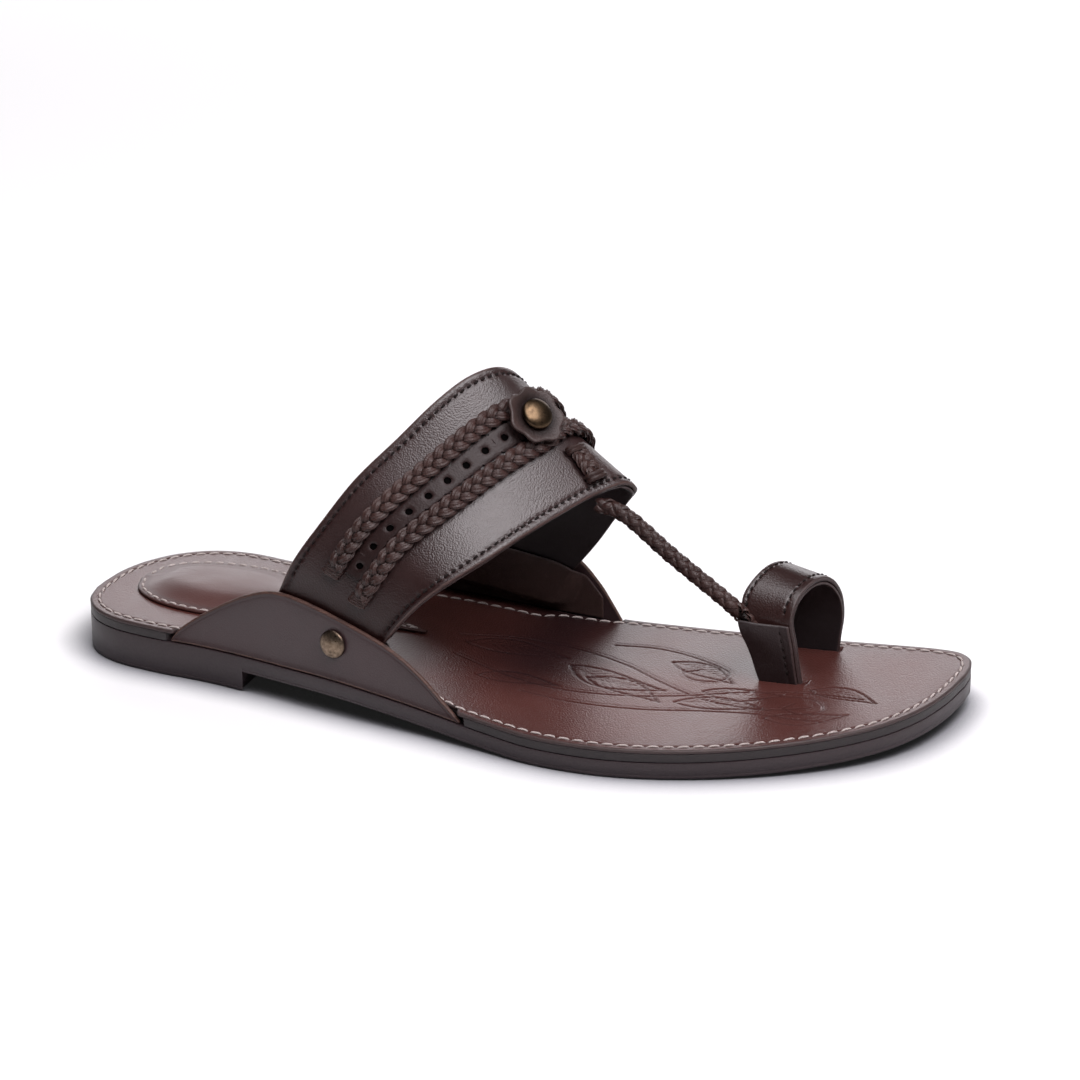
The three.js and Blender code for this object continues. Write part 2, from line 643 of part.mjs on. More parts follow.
// ---------------------------------------------------------------- the toe loop and its cord
function loopSlot(end) {
  const u = end ? [0.9, 1] : [0, 0.1];
  return strapSheet(loop, {
    u,
    v: [-0.03, 1.03],
    low: -LEATHER - 2 * GAP - LINING,
    thick: LEATHER + LINING + 3 * GAP,
    cells: [2, 1],
  });
}

function addToeLoop() {
  const leg = 0.012; // the legs stop short of the slots' ends
  add(
    "toe_loop",
    "leather",
    strapSheet(loop, { u: [leg, 1 - leg], v: [0, 1], low: -LEATHER, thick: LEATHER, cells: [26, 2] }),
  );
  add(
    "toe_loop_lining",
    "lining",
    strapSheet(loop, {
      u: [leg, 1 - leg],
      v: [0, 1],
      low: -LEATHER - GAP,
      thick: -LINING,
      cells: [26, 2],
    }),
  );
  const thread = {
    u: [0.3, 0.92],
    height: GAP,
    wide: 1,
    thick: 2 * THREAD_RADIUS,
    sides: THREAD_CORNERS,
    steps: 18,
  };
  add("toe_loop_rear_thread", "brownThread", strapBar(loop, { ...thread, v: 0.1 }));
  add("toe_loop_front_thread", "brownThread", strapBar(loop, { ...thread, v: 0.84 }));

  // A patch on the lateral leg holds down the thinned end of the cord.
  const bulge = (a, b) =>
    GAP + (CORD_TAIL + 3.4 * GAP) * smooth((a - 0.4) / 0.2) * smooth((0.72 - b) / 0.3);
  const patch = { u: [0.052, 0.262], v: [-0.03, 0.95], low: bulge, thick: 1.2, cells: [8, 6] };
  add("toe_post_patch", "leather", strapSheet(loop, patch));
  add(
    "toe_post_thread",
    "brownThread",
    strapBar(loop, { ...thread, u: [0.07, 0.25], v: 0.76, height: 1.2 + 2 * GAP, steps: 6 }),
  );
  add("toe_cord", "braid", toeCord());
}

// The cord from the keeper, under the band's front edge, down to the patch on the toe loop.
function toeCord() {
  const path = curve([
    [27.5, 13.6, 62], [32, 13.4, 61.8], [37, 13, 60], [42, 12.8, 56.7], [50.5, 12.5, 50.2],
    [59.7, 12.1, 43.9], [67.4, 11.6, 38.9], [73.2, 11.2, 35], [76.6, 12.3, 31.4], [78.8, 12.7, 28],
    [80.6, 12.7, 23.6],
  ]);
  const spread = 0.5; // the flattened tail is this much wider to each side
  return warpedBar(8, 28, (t, x, y) => {
    const tangent = path.getTangentAt(t);
    const across = point(-tangent.y, tangent.x).normalize();
    const upright = tangent.clone().cross(across);
    const flat = smooth((t - 0.79) / 0.08);
    return path
      .getPointAt(t)
      .addScaledVector(across, x * lerp(CORD_RADIUS, CORD_TAIL / 2, flat))
      .addScaledVector(upright, y * lerp(CORD_RADIUS, CORD_RADIUS + spread, flat));
  });
}

// ---------------------------------------------------------------- assembly
addSole();
addHeelPad();
addFlap("lateral", LATERAL_FLAP);
addFlap("medial", MEDIAL_FLAP);
addBand();
addToeLoop();

// The group's origin goes to the middle of its underside.
const extent = new THREE.Box3().setFromObject(sandal, true);
const middle = extent.getCenter(point(0, 0));
sandal.children.forEach((mesh) => mesh.geometry.translate(-middle.x, -middle.y, -extent.min.z));

export default sandal;
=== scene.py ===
"""Looks for a right-foot leather toe-loop sandal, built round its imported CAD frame.

Shapes are worked out in the drawing's millimetres: +X to the toe, +Y to the medial side, +Z up.
The edge curves of the sole, flaps, band and toe loop repeat those of the CAD part.
"""

import math

import bmesh
import bpy
import numpy as np
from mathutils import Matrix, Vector
from mathutils.kdtree import KDTree


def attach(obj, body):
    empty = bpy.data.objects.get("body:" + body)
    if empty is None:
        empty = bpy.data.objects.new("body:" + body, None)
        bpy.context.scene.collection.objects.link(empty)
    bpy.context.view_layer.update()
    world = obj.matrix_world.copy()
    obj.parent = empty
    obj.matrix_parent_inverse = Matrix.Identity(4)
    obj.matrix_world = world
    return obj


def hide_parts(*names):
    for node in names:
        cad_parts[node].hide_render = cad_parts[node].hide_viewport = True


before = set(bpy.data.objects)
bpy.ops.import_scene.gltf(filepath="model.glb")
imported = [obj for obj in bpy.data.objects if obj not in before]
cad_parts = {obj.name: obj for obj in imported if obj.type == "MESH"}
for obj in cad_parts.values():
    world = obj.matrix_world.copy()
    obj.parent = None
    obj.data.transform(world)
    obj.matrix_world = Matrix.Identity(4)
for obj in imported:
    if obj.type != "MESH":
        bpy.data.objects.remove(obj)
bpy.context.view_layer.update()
MM = 0.001
CENTRING = np.array([-0.05, 0.0927, 0.0])  # from the drawing's origin to the middle of the sandal
TAU = 2 * math.pi

# ---------------- dimensions, as in the CAD part
GAP, TRIM_GAP = 0.3, 0.5
LEATHER, LINING = 1.6, 0.9
HEEL_TOP, BALL_TOP, TOE_SPRING = 16, 9.6, 4
ARCH_START_X, ARCH_END_X, SPRING_START_X = -57, 34, 63
HEEL_X, HEEL_BREAST_X, TOE_X = -144.9, -78, 145
OUTSOLE_TOP, OUTSOLE_BOTTOM = 4.2, 9.6  # depths below the footbed's surface
LATERAL_FLAP_X, MEDIAL_FLAP_X = (-105, 3), (-76, 26.4)
FLAP_RECESS, FLAP_LEAN = 3.1, 0.08
BAND_DEPTH, COVERED_DEPTH = 2.2, 6.1  # depths in a flap of the band and of the lining over the band
BRAID_WIDTH, BRAID_THICK, STRIP = 5.6, 3.2, 0.8
CORD_RADIUS, CORD_TAIL = 2.7, 2.0

LATERAL_EDGE = [
    (-144.9, -1), (-142.6, -10), (-137, -17.6), (-128, -23), (-112, -26.4), (-94, -28), (-76, -31),
    (-55, -35.8), (-33, -40), (-10, -43.8), (10, -48), (28, -52), (45, -53), (58, -51.6), (76, -46.6),
    (93, -39.2), (108, -30.4), (121, -20.6), (131, -10), (138, 2), (142.6, 16), (145, 31),
]
MEDIAL_EDGE = [
    (-144.9, 5), (-143.6, 16), (-139.5, 27), (-132, 37), (-122, 43.4), (-110, 45.6), (-97, 44),
    (-84, 41.6), (-70, 40.4), (-55, 40.9), (-38, 42.6), (-18, 44.6), (4, 46.2), (28, 47.4), (52, 49),
    (76, 51), (98, 52.4), (118, 52.8), (131, 52), (139, 49.6), (143.4, 44.6), (145, 38.6),
]


# ---------------- numbers and curves
def smooth(t):
    t = np.clip(t, 0, 1)
    return t * t * (3 - 2 * t)


def mix(a, b, t):
    return a + (b - a) * t


def crowded(t):
    """Shares from 0 to 1 that crowd at both ends."""
    return 0.5 - 0.5 * np.cos(math.pi * t)


def unit(v):
    return v / np.maximum(np.linalg.norm(v, axis=-1, keepdims=True), 1e-9)


def points_of(x, y, z):
    return np.stack(np.broadcast_arrays(x, y, z), -1).astype(float)


def dense(points, steps=60):
    """A smooth curve (centripetal Catmull-Rom) through points, as many close points."""
    p = np.array(points, float)
    p = np.vstack([2 * p[0] - p[1], p, 2 * p[-1] - p[-2]])
    t = np.linspace(0, 1, steps, endpoint=False)[:, None]
    out = []
    for i in range(1, len(p) - 2):
        p0, p1, p2, p3 = p[i - 1 : i + 3]
        d0, d1, d2 = (math.sqrt(np.linalg.norm(b - a)) for a, b in ((p0, p1), (p1, p2), (p2, p3)))
        m1 = ((p1 - p0) / d0 - (p2 - p0) / (d0 + d1) + (p2 - p1) / d1) * d1
        m2 = ((p2 - p1) / d1 - (p3 - p1) / (d1 + d2) + (p3 - p2) / d2) * d1
        bend, pull = -3 * p1 + 3 * p2 - 2 * m1 - m2, 2 * p1 - 2 * p2 + m1 + m2
        out.append(p1 + m1 * t + bend * t**2 + pull * t**3)
    return np.vstack([*out, p[-2]])


def arc(line):
    """Length along a line of points, at each of them."""
    return np.concatenate([[0], np.cumsum(np.linalg.norm(np.diff(line, axis=0), axis=1))])


def at_rows(rows, along, s):
    """Rows of numbers known at lengths along a line, read at lengths s."""
    return np.stack([np.interp(s, along, rows[:, k]) for k in range(rows.shape[1])], -1)


def at(line, s):
    """Points at lengths s along a line of points."""
    return at_rows(line, arc(line), s)


def heading(line):
    """The direction of a line at each of its points."""
    return unit(np.gradient(line, axis=0))


def left_of(ahead):
    """The direction to the left of a flat one."""
    return np.stack([-ahead[:, 1], ahead[:, 0]], -1)


def edge_of(pairs):
    """The y of an edge as a function of x."""
    line = dense(pairs)
    return lambda x: np.interp(x, line[:, 0], line[:, 1])


lateral_edge, medial_edge = edge_of(LATERAL_EDGE), edge_of(MEDIAL_EDGE)


def footbed_top(x):
    x = np.asarray(x, float)
    drop = crowded(np.clip((x - ARCH_START_X) / (ARCH_END_X - ARCH_START_X), 0, 1))
    spring = np.clip((x - SPRING_START_X) / (TOE_X - SPRING_START_X), 0, 1)
    return mix(HEEL_TOP, BALL_TOP, drop) + TOE_SPRING * spring**2


def distance_to(points, line):
    """Distance from each point to a line of close points, in a plane or in space."""
    flat = points.reshape(-1, points.shape[-1])
    pad = ((0, 0), (0, 3 - flat.shape[1]))
    tree = KDTree(len(line))
    for i, p in enumerate(np.pad(line, pad).tolist()):
        tree.insert(p, i)
    tree.balance()
    return np.array([tree.find(p)[2] for p in np.pad(flat, pad).tolist()]).reshape(points.shape[:-1])


def crease(distance, width, depth):
    return -depth * np.exp(-((distance / width) ** 2))


def rise_between(x, x0, x1, ramp_0, ramp_1):
    """0 outside x0 and x1, and rising smoothly to 1 between them over the two ramps."""
    return smooth((x - x0) / ramp_0) * smooth((x1 - x) / ramp_1)


# ---------------- meshes
def make(name, shape, material, stands_for=None, body="sandal", smooth_angle=50):
    """A piece from a shape: points in the drawing's frame, faces, and each face's mark, which picks among
    the materials. It stands for one CAD node."""
    verts, faces, marks = shape
    mesh = bpy.data.meshes.new(name)
    mesh.from_pydata(((verts + CENTRING) * MM).tolist(), [], faces)
    for one in material if isinstance(material, list) else [material]:
        mesh.materials.append(one)
    mesh.polygons.foreach_set("material_index", np.asarray(marks, np.int32))
    obj = bpy.data.objects.new(name, mesh)
    bpy.context.scene.collection.objects.link(obj)
    face_out(mesh)
    mesh.shade_smooth()
    mesh.set_sharp_from_angle(angle=math.radians(smooth_angle))
    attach(obj, body)
    if stands_for:
        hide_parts(stands_for)
    return obj


def face_out(mesh):
    bm = bmesh.new()
    bm.from_mesh(mesh)
    bmesh.ops.remove_doubles(bm, verts=bm.verts, dist=1e-7)
    bmesh.ops.recalc_face_normals(bm, faces=bm.faces)
    bm.to_mesh(mesh)
    bm.free()


def drawn(obj):
    """A piece's points in the drawing's millimetres."""
    co = np.zeros(len(obj.data.vertices) * 3)
    obj.data.vertices.foreach_get("co", co)
    return co.reshape(-1, 3) / MM - CENTRING


def paint_tone(obj, values):
    """Gives each point of a piece its tone, from 0 to 1."""
    attribute = obj.data.attributes.new("tone", "FLOAT", "POINT")
    tones = np.clip(values, 0, 1) * np.ones(len(obj.data.vertices))
    attribute.data.foreach_set("value", tones.astype(np.float32))


def dress(name, material):
    """Gives a CAD node that stays in view, or stays hidden inside, its real finish."""
    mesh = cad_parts[name].data
    mesh.materials.clear()
    mesh.materials.append(material)


def plain(verts, faces, *_):
    """A shape of one material."""
    return verts, faces, [0] * len(faces)


def joined(shapes):
    """Several closed shapes, each of points and faces, as one."""
    verts, faces, count = [], [], 0
    for points, its_faces in shapes:
        verts.append(points)
        faces += [[i + count for i in face] for face in its_faces]
        count += len(points)
    return plain(np.vstack(verts), faces)


def ring_faces(rings, sides, closed=False):
    """Quads between each ring of points and the next. Closed joins the last ring to the first."""
    k, j = np.meshgrid(np.arange(rings if closed else rings - 1), np.arange(sides), indexing="ij")
    here, ahead, i = k * sides, (k + 1) % rings * sides, (j + 1) % sides
    return np.stack([here + j, here + i, ahead + i, ahead + j], -1).reshape(-1, 4).tolist()


def tube(line, across, up, wide, thick, sides=10, ridge=0.0):
    """A closed tube along a line. Its half-widths are given at each point or as one number, and a ridge
    gives its skin eight fine ribs."""
    n = len(line)
    angle = np.arange(sides) * TAU / sides
    ribbed = 1 + ridge * np.cos(8 * angle)
    x = np.broadcast_to(wide, n)[:, None] * (np.cos(angle) * ribbed)
    y = np.broadcast_to(thick, n)[:, None] * (np.sin(angle) * ribbed)
    verts = line[:, None] + across[:, None] * x[..., None] + up[:, None] * y[..., None]
    start = list(range(sides))
    end = [(n - 1) * sides + j for j in start]
    return verts.reshape(-1, 3), ring_faces(n, sides) + [start[::-1], end]


def frame_at(origin, axis):
    """Moves points whose +Z is the axis to a place."""
    x = unit(np.cross([0.0, 1.0, 0.0], axis))
    basis = np.stack([x, np.cross(axis, x), axis])
    return lambda p: np.asarray(p) @ basis + origin


def add_turned(name, profile, origin, axis, material, stands_for):
    """A turned piece from [radius, height] pairs along an axis, darker at its rim."""
    sides = 56
    angle = np.arange(sides) * TAU / sides
    r, h = np.array(profile, float).T[..., None]
    verts = frame_at(origin, axis)(points_of(r * np.cos(angle), r * np.sin(angle), h).reshape(-1, 3))
    shape = plain(verts, ring_faces(len(profile), sides))
    obj = make(name, shape, material, stands_for, smooth_angle=60)
    radius = np.linalg.norm(np.cross(drawn(obj) - origin, axis), axis=1)
    paint_tone(obj, 0.8 * smooth((radius / r.max() - 0.82) / 0.18))


ARC_STEPS = 5  # points round a sheet's edge


def stations(u0, u1, count, round_u):
    """Places from u0 to u1 that crowd at rounded ends, and the share of the thickness at each."""
    turn = np.linspace(0.15, 1, 5)[:-1] * math.pi / 2
    lead = round_u * (math.cos(turn[0]) - np.cos(turn))
    body = np.linspace(u0 + round_u, u1 - round_u, count)
    us = np.concatenate([u0 + lead, body, (u1 - lead)[::-1]])
    return us, np.concatenate([np.sin(turn), np.ones(count), np.sin(turn)[::-1]])


def slab(place, places, span, rows, low, high, rim):
    """A sheet with rounded edges. place(u, v, w) gives its points; places are its stations along u, rows its
    shares from the v=0 edge to the v=1 edge, span(u) its width in mm and rim the depth of its rounded edge.
    low and high are its faces, as numbers or functions of u and v. Faces of the rounded edges get mark 1."""
    us, pinch = places
    width = span(us)
    reach = (np.minimum(rim, 0.3 * width) / width)[:, None]
    v = reach + (1 - 2 * reach) * rows
    u = np.broadcast_to(us[:, None], v.shape)
    top, bottom = ((face(u, v) if callable(face) else face) * np.ones_like(v) for face in (high, low))
    middle, half = (top + bottom) / 2, (top - bottom) / 2 * pinch[:, None]
    turn = np.linspace(0, math.pi, ARC_STEPS + 2)[1:-1]
    bulge, lean = np.sin(turn) ** 0.7, np.sign(np.cos(turn)) * np.abs(np.cos(turn)) ** 0.7

    def edge(column, direction):
        column = slice(column, column + 1 or None)
        return v[:, column] + direction * reach * bulge, middle[:, column] + half[:, column] * lean

    (far_v, far_w), (near_v, near_w) = edge(-1, 1), edge(0, -1)
    ring_v = np.hstack([v, far_v, v[:, ::-1], near_v[:, ::-1]])
    ring_w = np.hstack([middle + half, far_w, (middle - half)[:, ::-1], near_w[:, ::-1]])
    n, m = ring_v.shape
    verts = place(np.broadcast_to(us[:, None], ring_v.shape), ring_v, ring_w).reshape(-1, 3)
    r = len(rows)
    under = 2 * r + ARC_STEPS - 1  # the last point of the lower face
    j = np.arange(m)
    on_edge = ((j >= r - 1) & (j < r + ARC_STEPS)) | (j >= under)
    faces, marks = ring_faces(n, m), np.tile(on_edge, n - 1).astype(int).tolist()
    for end in (0, (n - 1) * m):
        faces += [[end + j, end + j + 1, end + under - 1 - j, end + under - j] for j in range(r - 1)]
        faces.append([end + j for j in range(r - 1, r + ARC_STEPS + 1)])
        faces.append([end + j for j in range(under, m)] + [end])
        marks += [1] * (r + 1)
    return verts, faces, marks


# Each stitch's length, gap, radius, lift and slant
FOOTBED_STITCH, PAD_STITCH = (3.9, 0.75, 0.34, 0.06, 0.2), (3.4, 0.7, 0.36, 0.08, 0.16)
BAND_STITCH = (2.0, 0.72, 0.34, 0.12, 0.1)
LOOP_STITCH, PATCH_STITCH = (1.8, 0.8, 0.3, 0.14, 0.05), (1.8, 0.8, 0.3, 0.22, 0.05)


def sew(name, line, up, stitch, material, stands_for):
    """Separate stitches along a line, each diving into the leather at its ends."""
    length, gap, radius, lift, slant = stitch
    along = arc(line)
    count = max(1, int((along[-1] + gap) / (length + gap)))
    pitch = along[-1] / count
    t = np.linspace(0, 1, 8)
    body = np.clip(1 - np.abs(2 * t - 1) ** 3.2, 0.05, 1) ** 0.5
    height = lift - (lift + radius * 0.9) * (1 - np.sin(math.pi * t) ** 0.45)
    shapes = []
    for i in range(count):
        s = pitch * i + (pitch - length) / 2 + t * length
        n = unit(at_rows(up, along, s))
        ahead = unit(at(line, s + 0.2) - at(line, s - 0.2))
        side = unit(np.cross(n, ahead))
        p = at(line, s) + n * height[:, None] + side * (slant * (2 * t - 1))[:, None]
        shapes.append(tube(p, side, n, radius * 1.15 * body, radius * body, sides=8))
    make(name, joined(shapes), material, stands_for, smooth_angle=40)


# ---------------- materials
def wire(tree, socket, value):
    """Links an output to a socket, or sets the socket to a value."""
    if isinstance(value, bpy.types.NodeSocket):
        tree.links.new(value, socket)
    else:
        socket.default_value = value


def wire_all(tree, made, **inputs):
    """Wires a node's named inputs, where _ stands for a space."""
    for key, value in inputs.items():
        wire(tree, made.inputs[key.replace("_", " ")], value)
    return made


def node(tree, kind, *values, **inputs):
    """A new node, its inputs given in order or by name."""
    made = tree.nodes.new("ShaderNode" + kind)
    for socket, value in zip(made.inputs, values):
        wire(tree, socket, value)
    return wire_all(tree, made, **inputs)


def calculate(tree, kind, operation, *values):
    """A node that does one sum with its inputs."""
    made = node(tree, kind, *values)
    made.operation = operation
    return made.outputs["Value"]


def coords(tree, kind="Object"):
    return node(tree, "TexCoord").outputs[kind]


def noise(tree, scale, detail, rough=0.5):
    """Noise that is fixed to the piece."""
    made = node(tree, "TexNoise", Vector=coords(tree), Scale=scale, Detail=detail, Roughness=rough)
    return made.outputs["Fac"]


def ramp(tree, factor, *stops):
    made = node(tree, "ValToRGB", factor)
    while len(made.color_ramp.elements) < len(stops):
        made.color_ramp.elements.new(0.5)
    for element, (position, colour) in zip(made.color_ramp.elements, stops):
        element.position, element.color = position, colour
    return made.outputs["Color"]


def blend(tree, factor, a, b):
    """A mix of two colours."""
    made = tree.nodes.new("ShaderNodeMix")
    made.data_type = "RGBA"
    for index, value in ((0, factor), (6, a), (7, b)):
        wire(tree, made.inputs[index], value)
    return made.outputs[2]


def map_range(tree, value, low, high, to_low, to_high):
    made = node(tree, "MapRange", Value=value, From_Min=low, From_Max=high, To_Min=to_low, To_Max=to_high)
    return made.outputs["Result"]


def tone_of(tree):
    """The tone that a mesh's points carry."""
    tone = node(tree, "Attribute")
    tone.attribute_name = "tone"
    return tone.outputs["Fac"]


def shade(hex_colour):
    """Linear colour of an sRGB hex value."""
    channels = [(hex_colour >> shift & 255) / 255 for shift in (16, 8, 0)]
    return (*(c / 12.92 if c <= 0.04045 else ((c + 0.055) / 1.055) ** 2.4 for c in channels), 1)


def new_material(name):
    material = bpy.data.materials.new(name)
    material.use_nodes = True
    return material, material.node_tree


def settle(tree, height, strength, depth, invert=False, **inputs):
    """Wires a material's shader, with a surface bumped by height."""
    bump = node(tree, "Bump", Strength=strength, Distance=depth, Height=height)
    bump.invert = invert
    wire_all(tree, tree.nodes["Principled BSDF"], Normal=bump.outputs["Normal"], **inputs)


def leather(name, dark, light, wear_and_shade, rough, grain=1500, depth=0.00006, specular=0.5):
    """Grained leather: mottled colour, pebbled, and darker and duller where the tone is high, which is
    burnished wear on some pieces and painted shade on others.
    """
    material, tree = new_material(name)
    dark, light, wear_and_shade = map(shade, (dark, light, wear_and_shade))
    cloud, fleck, tone = noise(tree, 26.0, 4.0, 0.6), noise(tree, 420.0, 3.0, 0.65), tone_of(tree)
    pebble = node(tree, "TexVoronoi", Vector=coords(tree), Scale=grain).outputs["Distance"]
    mottled = ramp(tree, cloud, (0.35, dark), (0.68, light))
    flecked = blend(tree, map_range(tree, fleck, 0.3, 0.75, 0, 0.35), mottled, dark)
    settle(
        tree, pebble, 1.0, depth, invert=True, Base_Color=blend(tree, tone, flecked, wear_and_shade),
        Roughness=map_range(tree, cloud, 0.3, 0.7, *rough),
        Specular_IOR_Level=map_range(tree, tone, 0, 1, specular, 0.3 * specular),
    )
    return material


def layered(name, dark, light, rough):
    """A cut, burnished leather or board edge: fine fibres in layers."""
    material, tree = new_material(name)
    stretched = node(tree, "Mapping", Vector=coords(tree), Scale=(0.12, 0.12, 1)).outputs["Vector"]
    fibre = node(tree, "TexNoise", Vector=stretched, Scale=2200.0, Detail=4.0, Roughness=0.7).outputs["Fac"]
    colour = ramp(tree, fibre, (0.3, shade(dark)), (0.72, shade(light)))
    settle(tree, fibre, 0.9, 0.00012, Base_Color=colour, Roughness=rough)
    return material


def thread(name, dark, light, gloss):
    """Twisted thread: fine light and dark fibres."""
    material, tree = new_material(name)
    twist = node(tree, "TexWave", Vector=coords(tree), Scale=910.0, Distortion=3.0, Detail=2.0).outputs["Fac"]
    fuzzy = calculate(tree, "Math", "MULTIPLY", twist, noise(tree, 2600.0, 3.0))
    colour = ramp(tree, fuzzy, (0.05, shade(dark)), (0.45, shade(light)))
    settle(tree, fuzzy, 0.8, 0.00015, Base_Color=colour, Roughness=0.7, Specular_IOR_Level=gloss)
    return material


def metal(name, dark, light, bright_rough, dull_rough):
    """Antique brass: bright where rubbed, dark and dull where tarnished."""
    material, tree = new_material(name)
    stain = noise(tree, 520.0, 6.0, 0.7)
    spotted = ramp(tree, stain, (0.32, shade(dark)), (0.6, shade(light)))
    colour = blend(tree, tone_of(tree), spotted, shade(dark))
    rough = map_range(tree, stain, 0.3, 0.7, dull_rough, bright_rough)
    settle(tree, noise(tree, 3200.0, 2.0), 0.35, 0.00008, Base_Color=colour, Roughness=rough, Metallic=1.0)
    return material


def speckled(name, dark, light, rough, scale, depth, specular=0.5):
    """Moulded rubber or foam: an even colour with a fine texture."""
    material, tree = new_material(name)
    fine, broad = noise(tree, scale, 5.0, 0.7), noise(tree, 30.0, 2.0)
    base = ramp(tree, fine, (0.3, shade(dark)), (0.7, shade(light)))
    colour = blend(tree, map_range(tree, broad, 0.3, 0.7, 0, 0.4), base, shade(dark))
    settle(tree, fine, 0.8, depth, Base_Color=colour, Roughness=rough, Specular_IOR_Level=specular)
    return material


UPPER = leather("upper_leather", 0x2A1918, 0x342120, 0x220F0E, (0.35, 0.42), 1800, 0.00009, 0.7)
# A darker, duller copy of the upper leather: painted shade that tones down the strip's highlight.
STRIP_LEATHER = leather("strip_leather", 0x251615, 0x2E1C1B, 0x1A0C0B, (0.44, 0.5), specular=0.4)
FLAP = leather("flap_leather", 0x332325, 0x3C2A2C, 0x281716, (0.36, 0.46), 2000, 0.00004, 0.6)
FOOTBED = leather("footbed_leather", 0x43231F, 0x522C27, 0x241415, (0.3, 0.4), 1600, 0.00009, 0.6)
PAD = leather("pad_leather", 0x43231F, 0x4E2B27, 0x2E1714, (0.36, 0.44), 1800, 0.00004, 0.6)
LOOP = leather("loop_leather", 0x200E0D, 0x2A1614, 0x1E0E0D, (0.28, 0.34), 1700)
PATCH = leather("patch_leather", 0x1A0F10, 0x231516, 0x120A0B, (0.42, 0.54), 2000)
INNER = leather("lining_leather", 0x191214, 0x241B1D, 0x0E0B0C, (0.46, 0.6), 2000)
FLAP_INNER = leather("flap_lining", 0x33231F, 0x412E2A, 0x1E1514, (0.4, 0.5), 1500, 0.0001)
BRAID = leather("braid_leather", 0x2B1815, 0x3E2824, 0x0A0504, (0.38, 0.48), 2600, 0.0001, 0.4)
FLOWER = leather("flower_leather", 0x2B1B18, 0x3A2724, 0x170D0C, (0.45, 0.55), 1900, 0.0001)
RAW_EDGE = layered("raw_leather_edge", 0x2C1B19, 0x4A322D, 0.55)
TAN_EDGE = layered("flap_raw_edge", 0x2E1D1A, 0x583A30, 0.6)
DARK_EDGE = layered("burnished_edge", 0x2A1C1C, 0x41302F, 0.55)
BOARD = layered("midsole_board", 0x181012, 0x292021, 0.5)
RUBBER = speckled("outsole_rubber", 0x271B1E, 0x352A2D, 0.46, 1500.0, 0.00008)
FOAM = speckled("pad_foam", 0xB9A88C, 0xD8C9B0, 0.9, 1400.0, 0.0003)
CREAM = thread("sole_thread", 0x857874, 0xD2C7C3, 0.5)
BROWN = thread("upper_thread", 0x090505, 0x1E1210, 0.2)
HOLE_SHADE = speckled("hole_shadow", 0x030202, 0x060505, 0.95, 1500.0, 0.0001, specular=0.05)
BRASS = metal("antique_brass", 0x4C4038, 0x8A7866, 0.22, 0.5)
STUD = metal("stud_brass", 0x3A2E24, 0x64523F, 0.28, 0.36)

# ---------------- camera, light and floor
AZIMUTH, ELEVATION, DISTANCE = math.radians(20), math.radians(21), 1.1
LOOK_AT = Vector((0.0012, 0.0322, 0.040))
ROOM_BRIGHTNESS = (0.22, 1.0)  # in front of the sandal and behind it
LIGHT_COLOUR = (1, 0.972, 1)
FLOOR_HALF, FLOOR_DROP = 6.0, 0.0002
PAPER_SHADOW_RAMP = (0.3, (0.03, 0.03, 0.035, 1)), (0.62, (0.35, 0.35, 0.375, 1)), (0.97, (0.84, 0.84, 0.845, 1))


def link(name, data):
    obj = bpy.data.objects.new(name, data)
    bpy.context.scene.collection.objects.link(obj)
    return obj


def add_camera():
    level = math.cos(ELEVATION)
    back = Vector((math.sin(AZIMUTH) * level, -math.cos(AZIMUTH) * level, math.sin(ELEVATION)))
    camera = link("camera", bpy.data.cameras.new("camera"))
    camera.location = LOOK_AT + back * DISTANCE
    camera.rotation_euler = (-back).to_track_quat("-Z", "Y").to_euler()
    camera.data.lens = 112
    camera.data.sensor_width = 36
    camera.data.clip_start = 0.01
    bpy.context.scene.camera = camera
    bpy.context.scene.view_settings.view_transform = "Standard"


def light_the_room():
    """A white studio: bright behind and above the sandal, dimmer in front of it."""
    world = bpy.data.worlds.new("studio")
    world.use_nodes = True
    bpy.context.scene.world = world
    tree = world.node_tree
    split = node(tree, "SeparateXYZ", coords(tree, "Generated")).outputs
    height = calculate(tree, "Math", "MULTIPLY_ADD", split["Z"], 0.35, split["Y"])
    wire_all(tree, tree.nodes["Background"], Strength=map_range(tree, height, -0.7, 0.75, *ROOM_BRIGHTNESS))


def add_softbox(name, place, target, size, power):
    light = link(name, bpy.data.lights.new(name, "AREA"))
    light.data.shape = "RECTANGLE"
    light.data.size, light.data.size_y = size
    light.data.energy = power
    light.data.color = LIGHT_COLOUR
    light.location = place
    light.rotation_euler = (Vector(target) - Vector(place)).to_track_quat("-Z", "Y").to_euler()


def add_floor():
    """White paper with a painted contact shadow where the sandal touches it, glowing a little further out."""
    mesh = bpy.data.meshes.new("floor")
    corners = [(x * FLOOR_HALF, y * FLOOR_HALF, 0) for x, y in ((-1, -1), (1, -1), (1, 1), (-1, 1))]
    mesh.from_pydata(corners, [], [(0, 1, 2, 3)])
    floor = link("floor", mesh)
    floor.location.z = -FLOOR_DROP
    paper, tree = new_material("floor")
    # Painted shadow: the paper darkens where the sandal hems it in.
    contact = node(tree, "AmbientOcclusion", Distance=0.014)
    contact.samples = 8
    away = calculate(tree, "VectorMath", "LENGTH", coords(tree))
    wire_all(
        tree, tree.nodes["Principled BSDF"], Base_Color=ramp(tree, contact.outputs["AO"], *PAPER_SHADOW_RAMP),
        Emission_Color=(1, 1, 1, 1), Emission_Strength=map_range(tree, away, 0.15, 0.5, 0.01, 0.2),
        Roughness=0.6, Specular_IOR_Level=0.2,
    )
    mesh.materials.append(paper)


add_camera()
light_the_room()
add_softbox("overhead", (0.52, -0.36, 1.05), (0.02, 0, 0.06), (1.15, 0.75), 21)
add_softbox("top", (-0.16, -0.06, 1.1), (0.09, 0.03, 0.04), (0.4, 0.4), 3)
add_softbox("back", (-0.55, 1.7, 0.62), (0, 0, 0.03), (2.4, 0.75), 18)
add_floor()


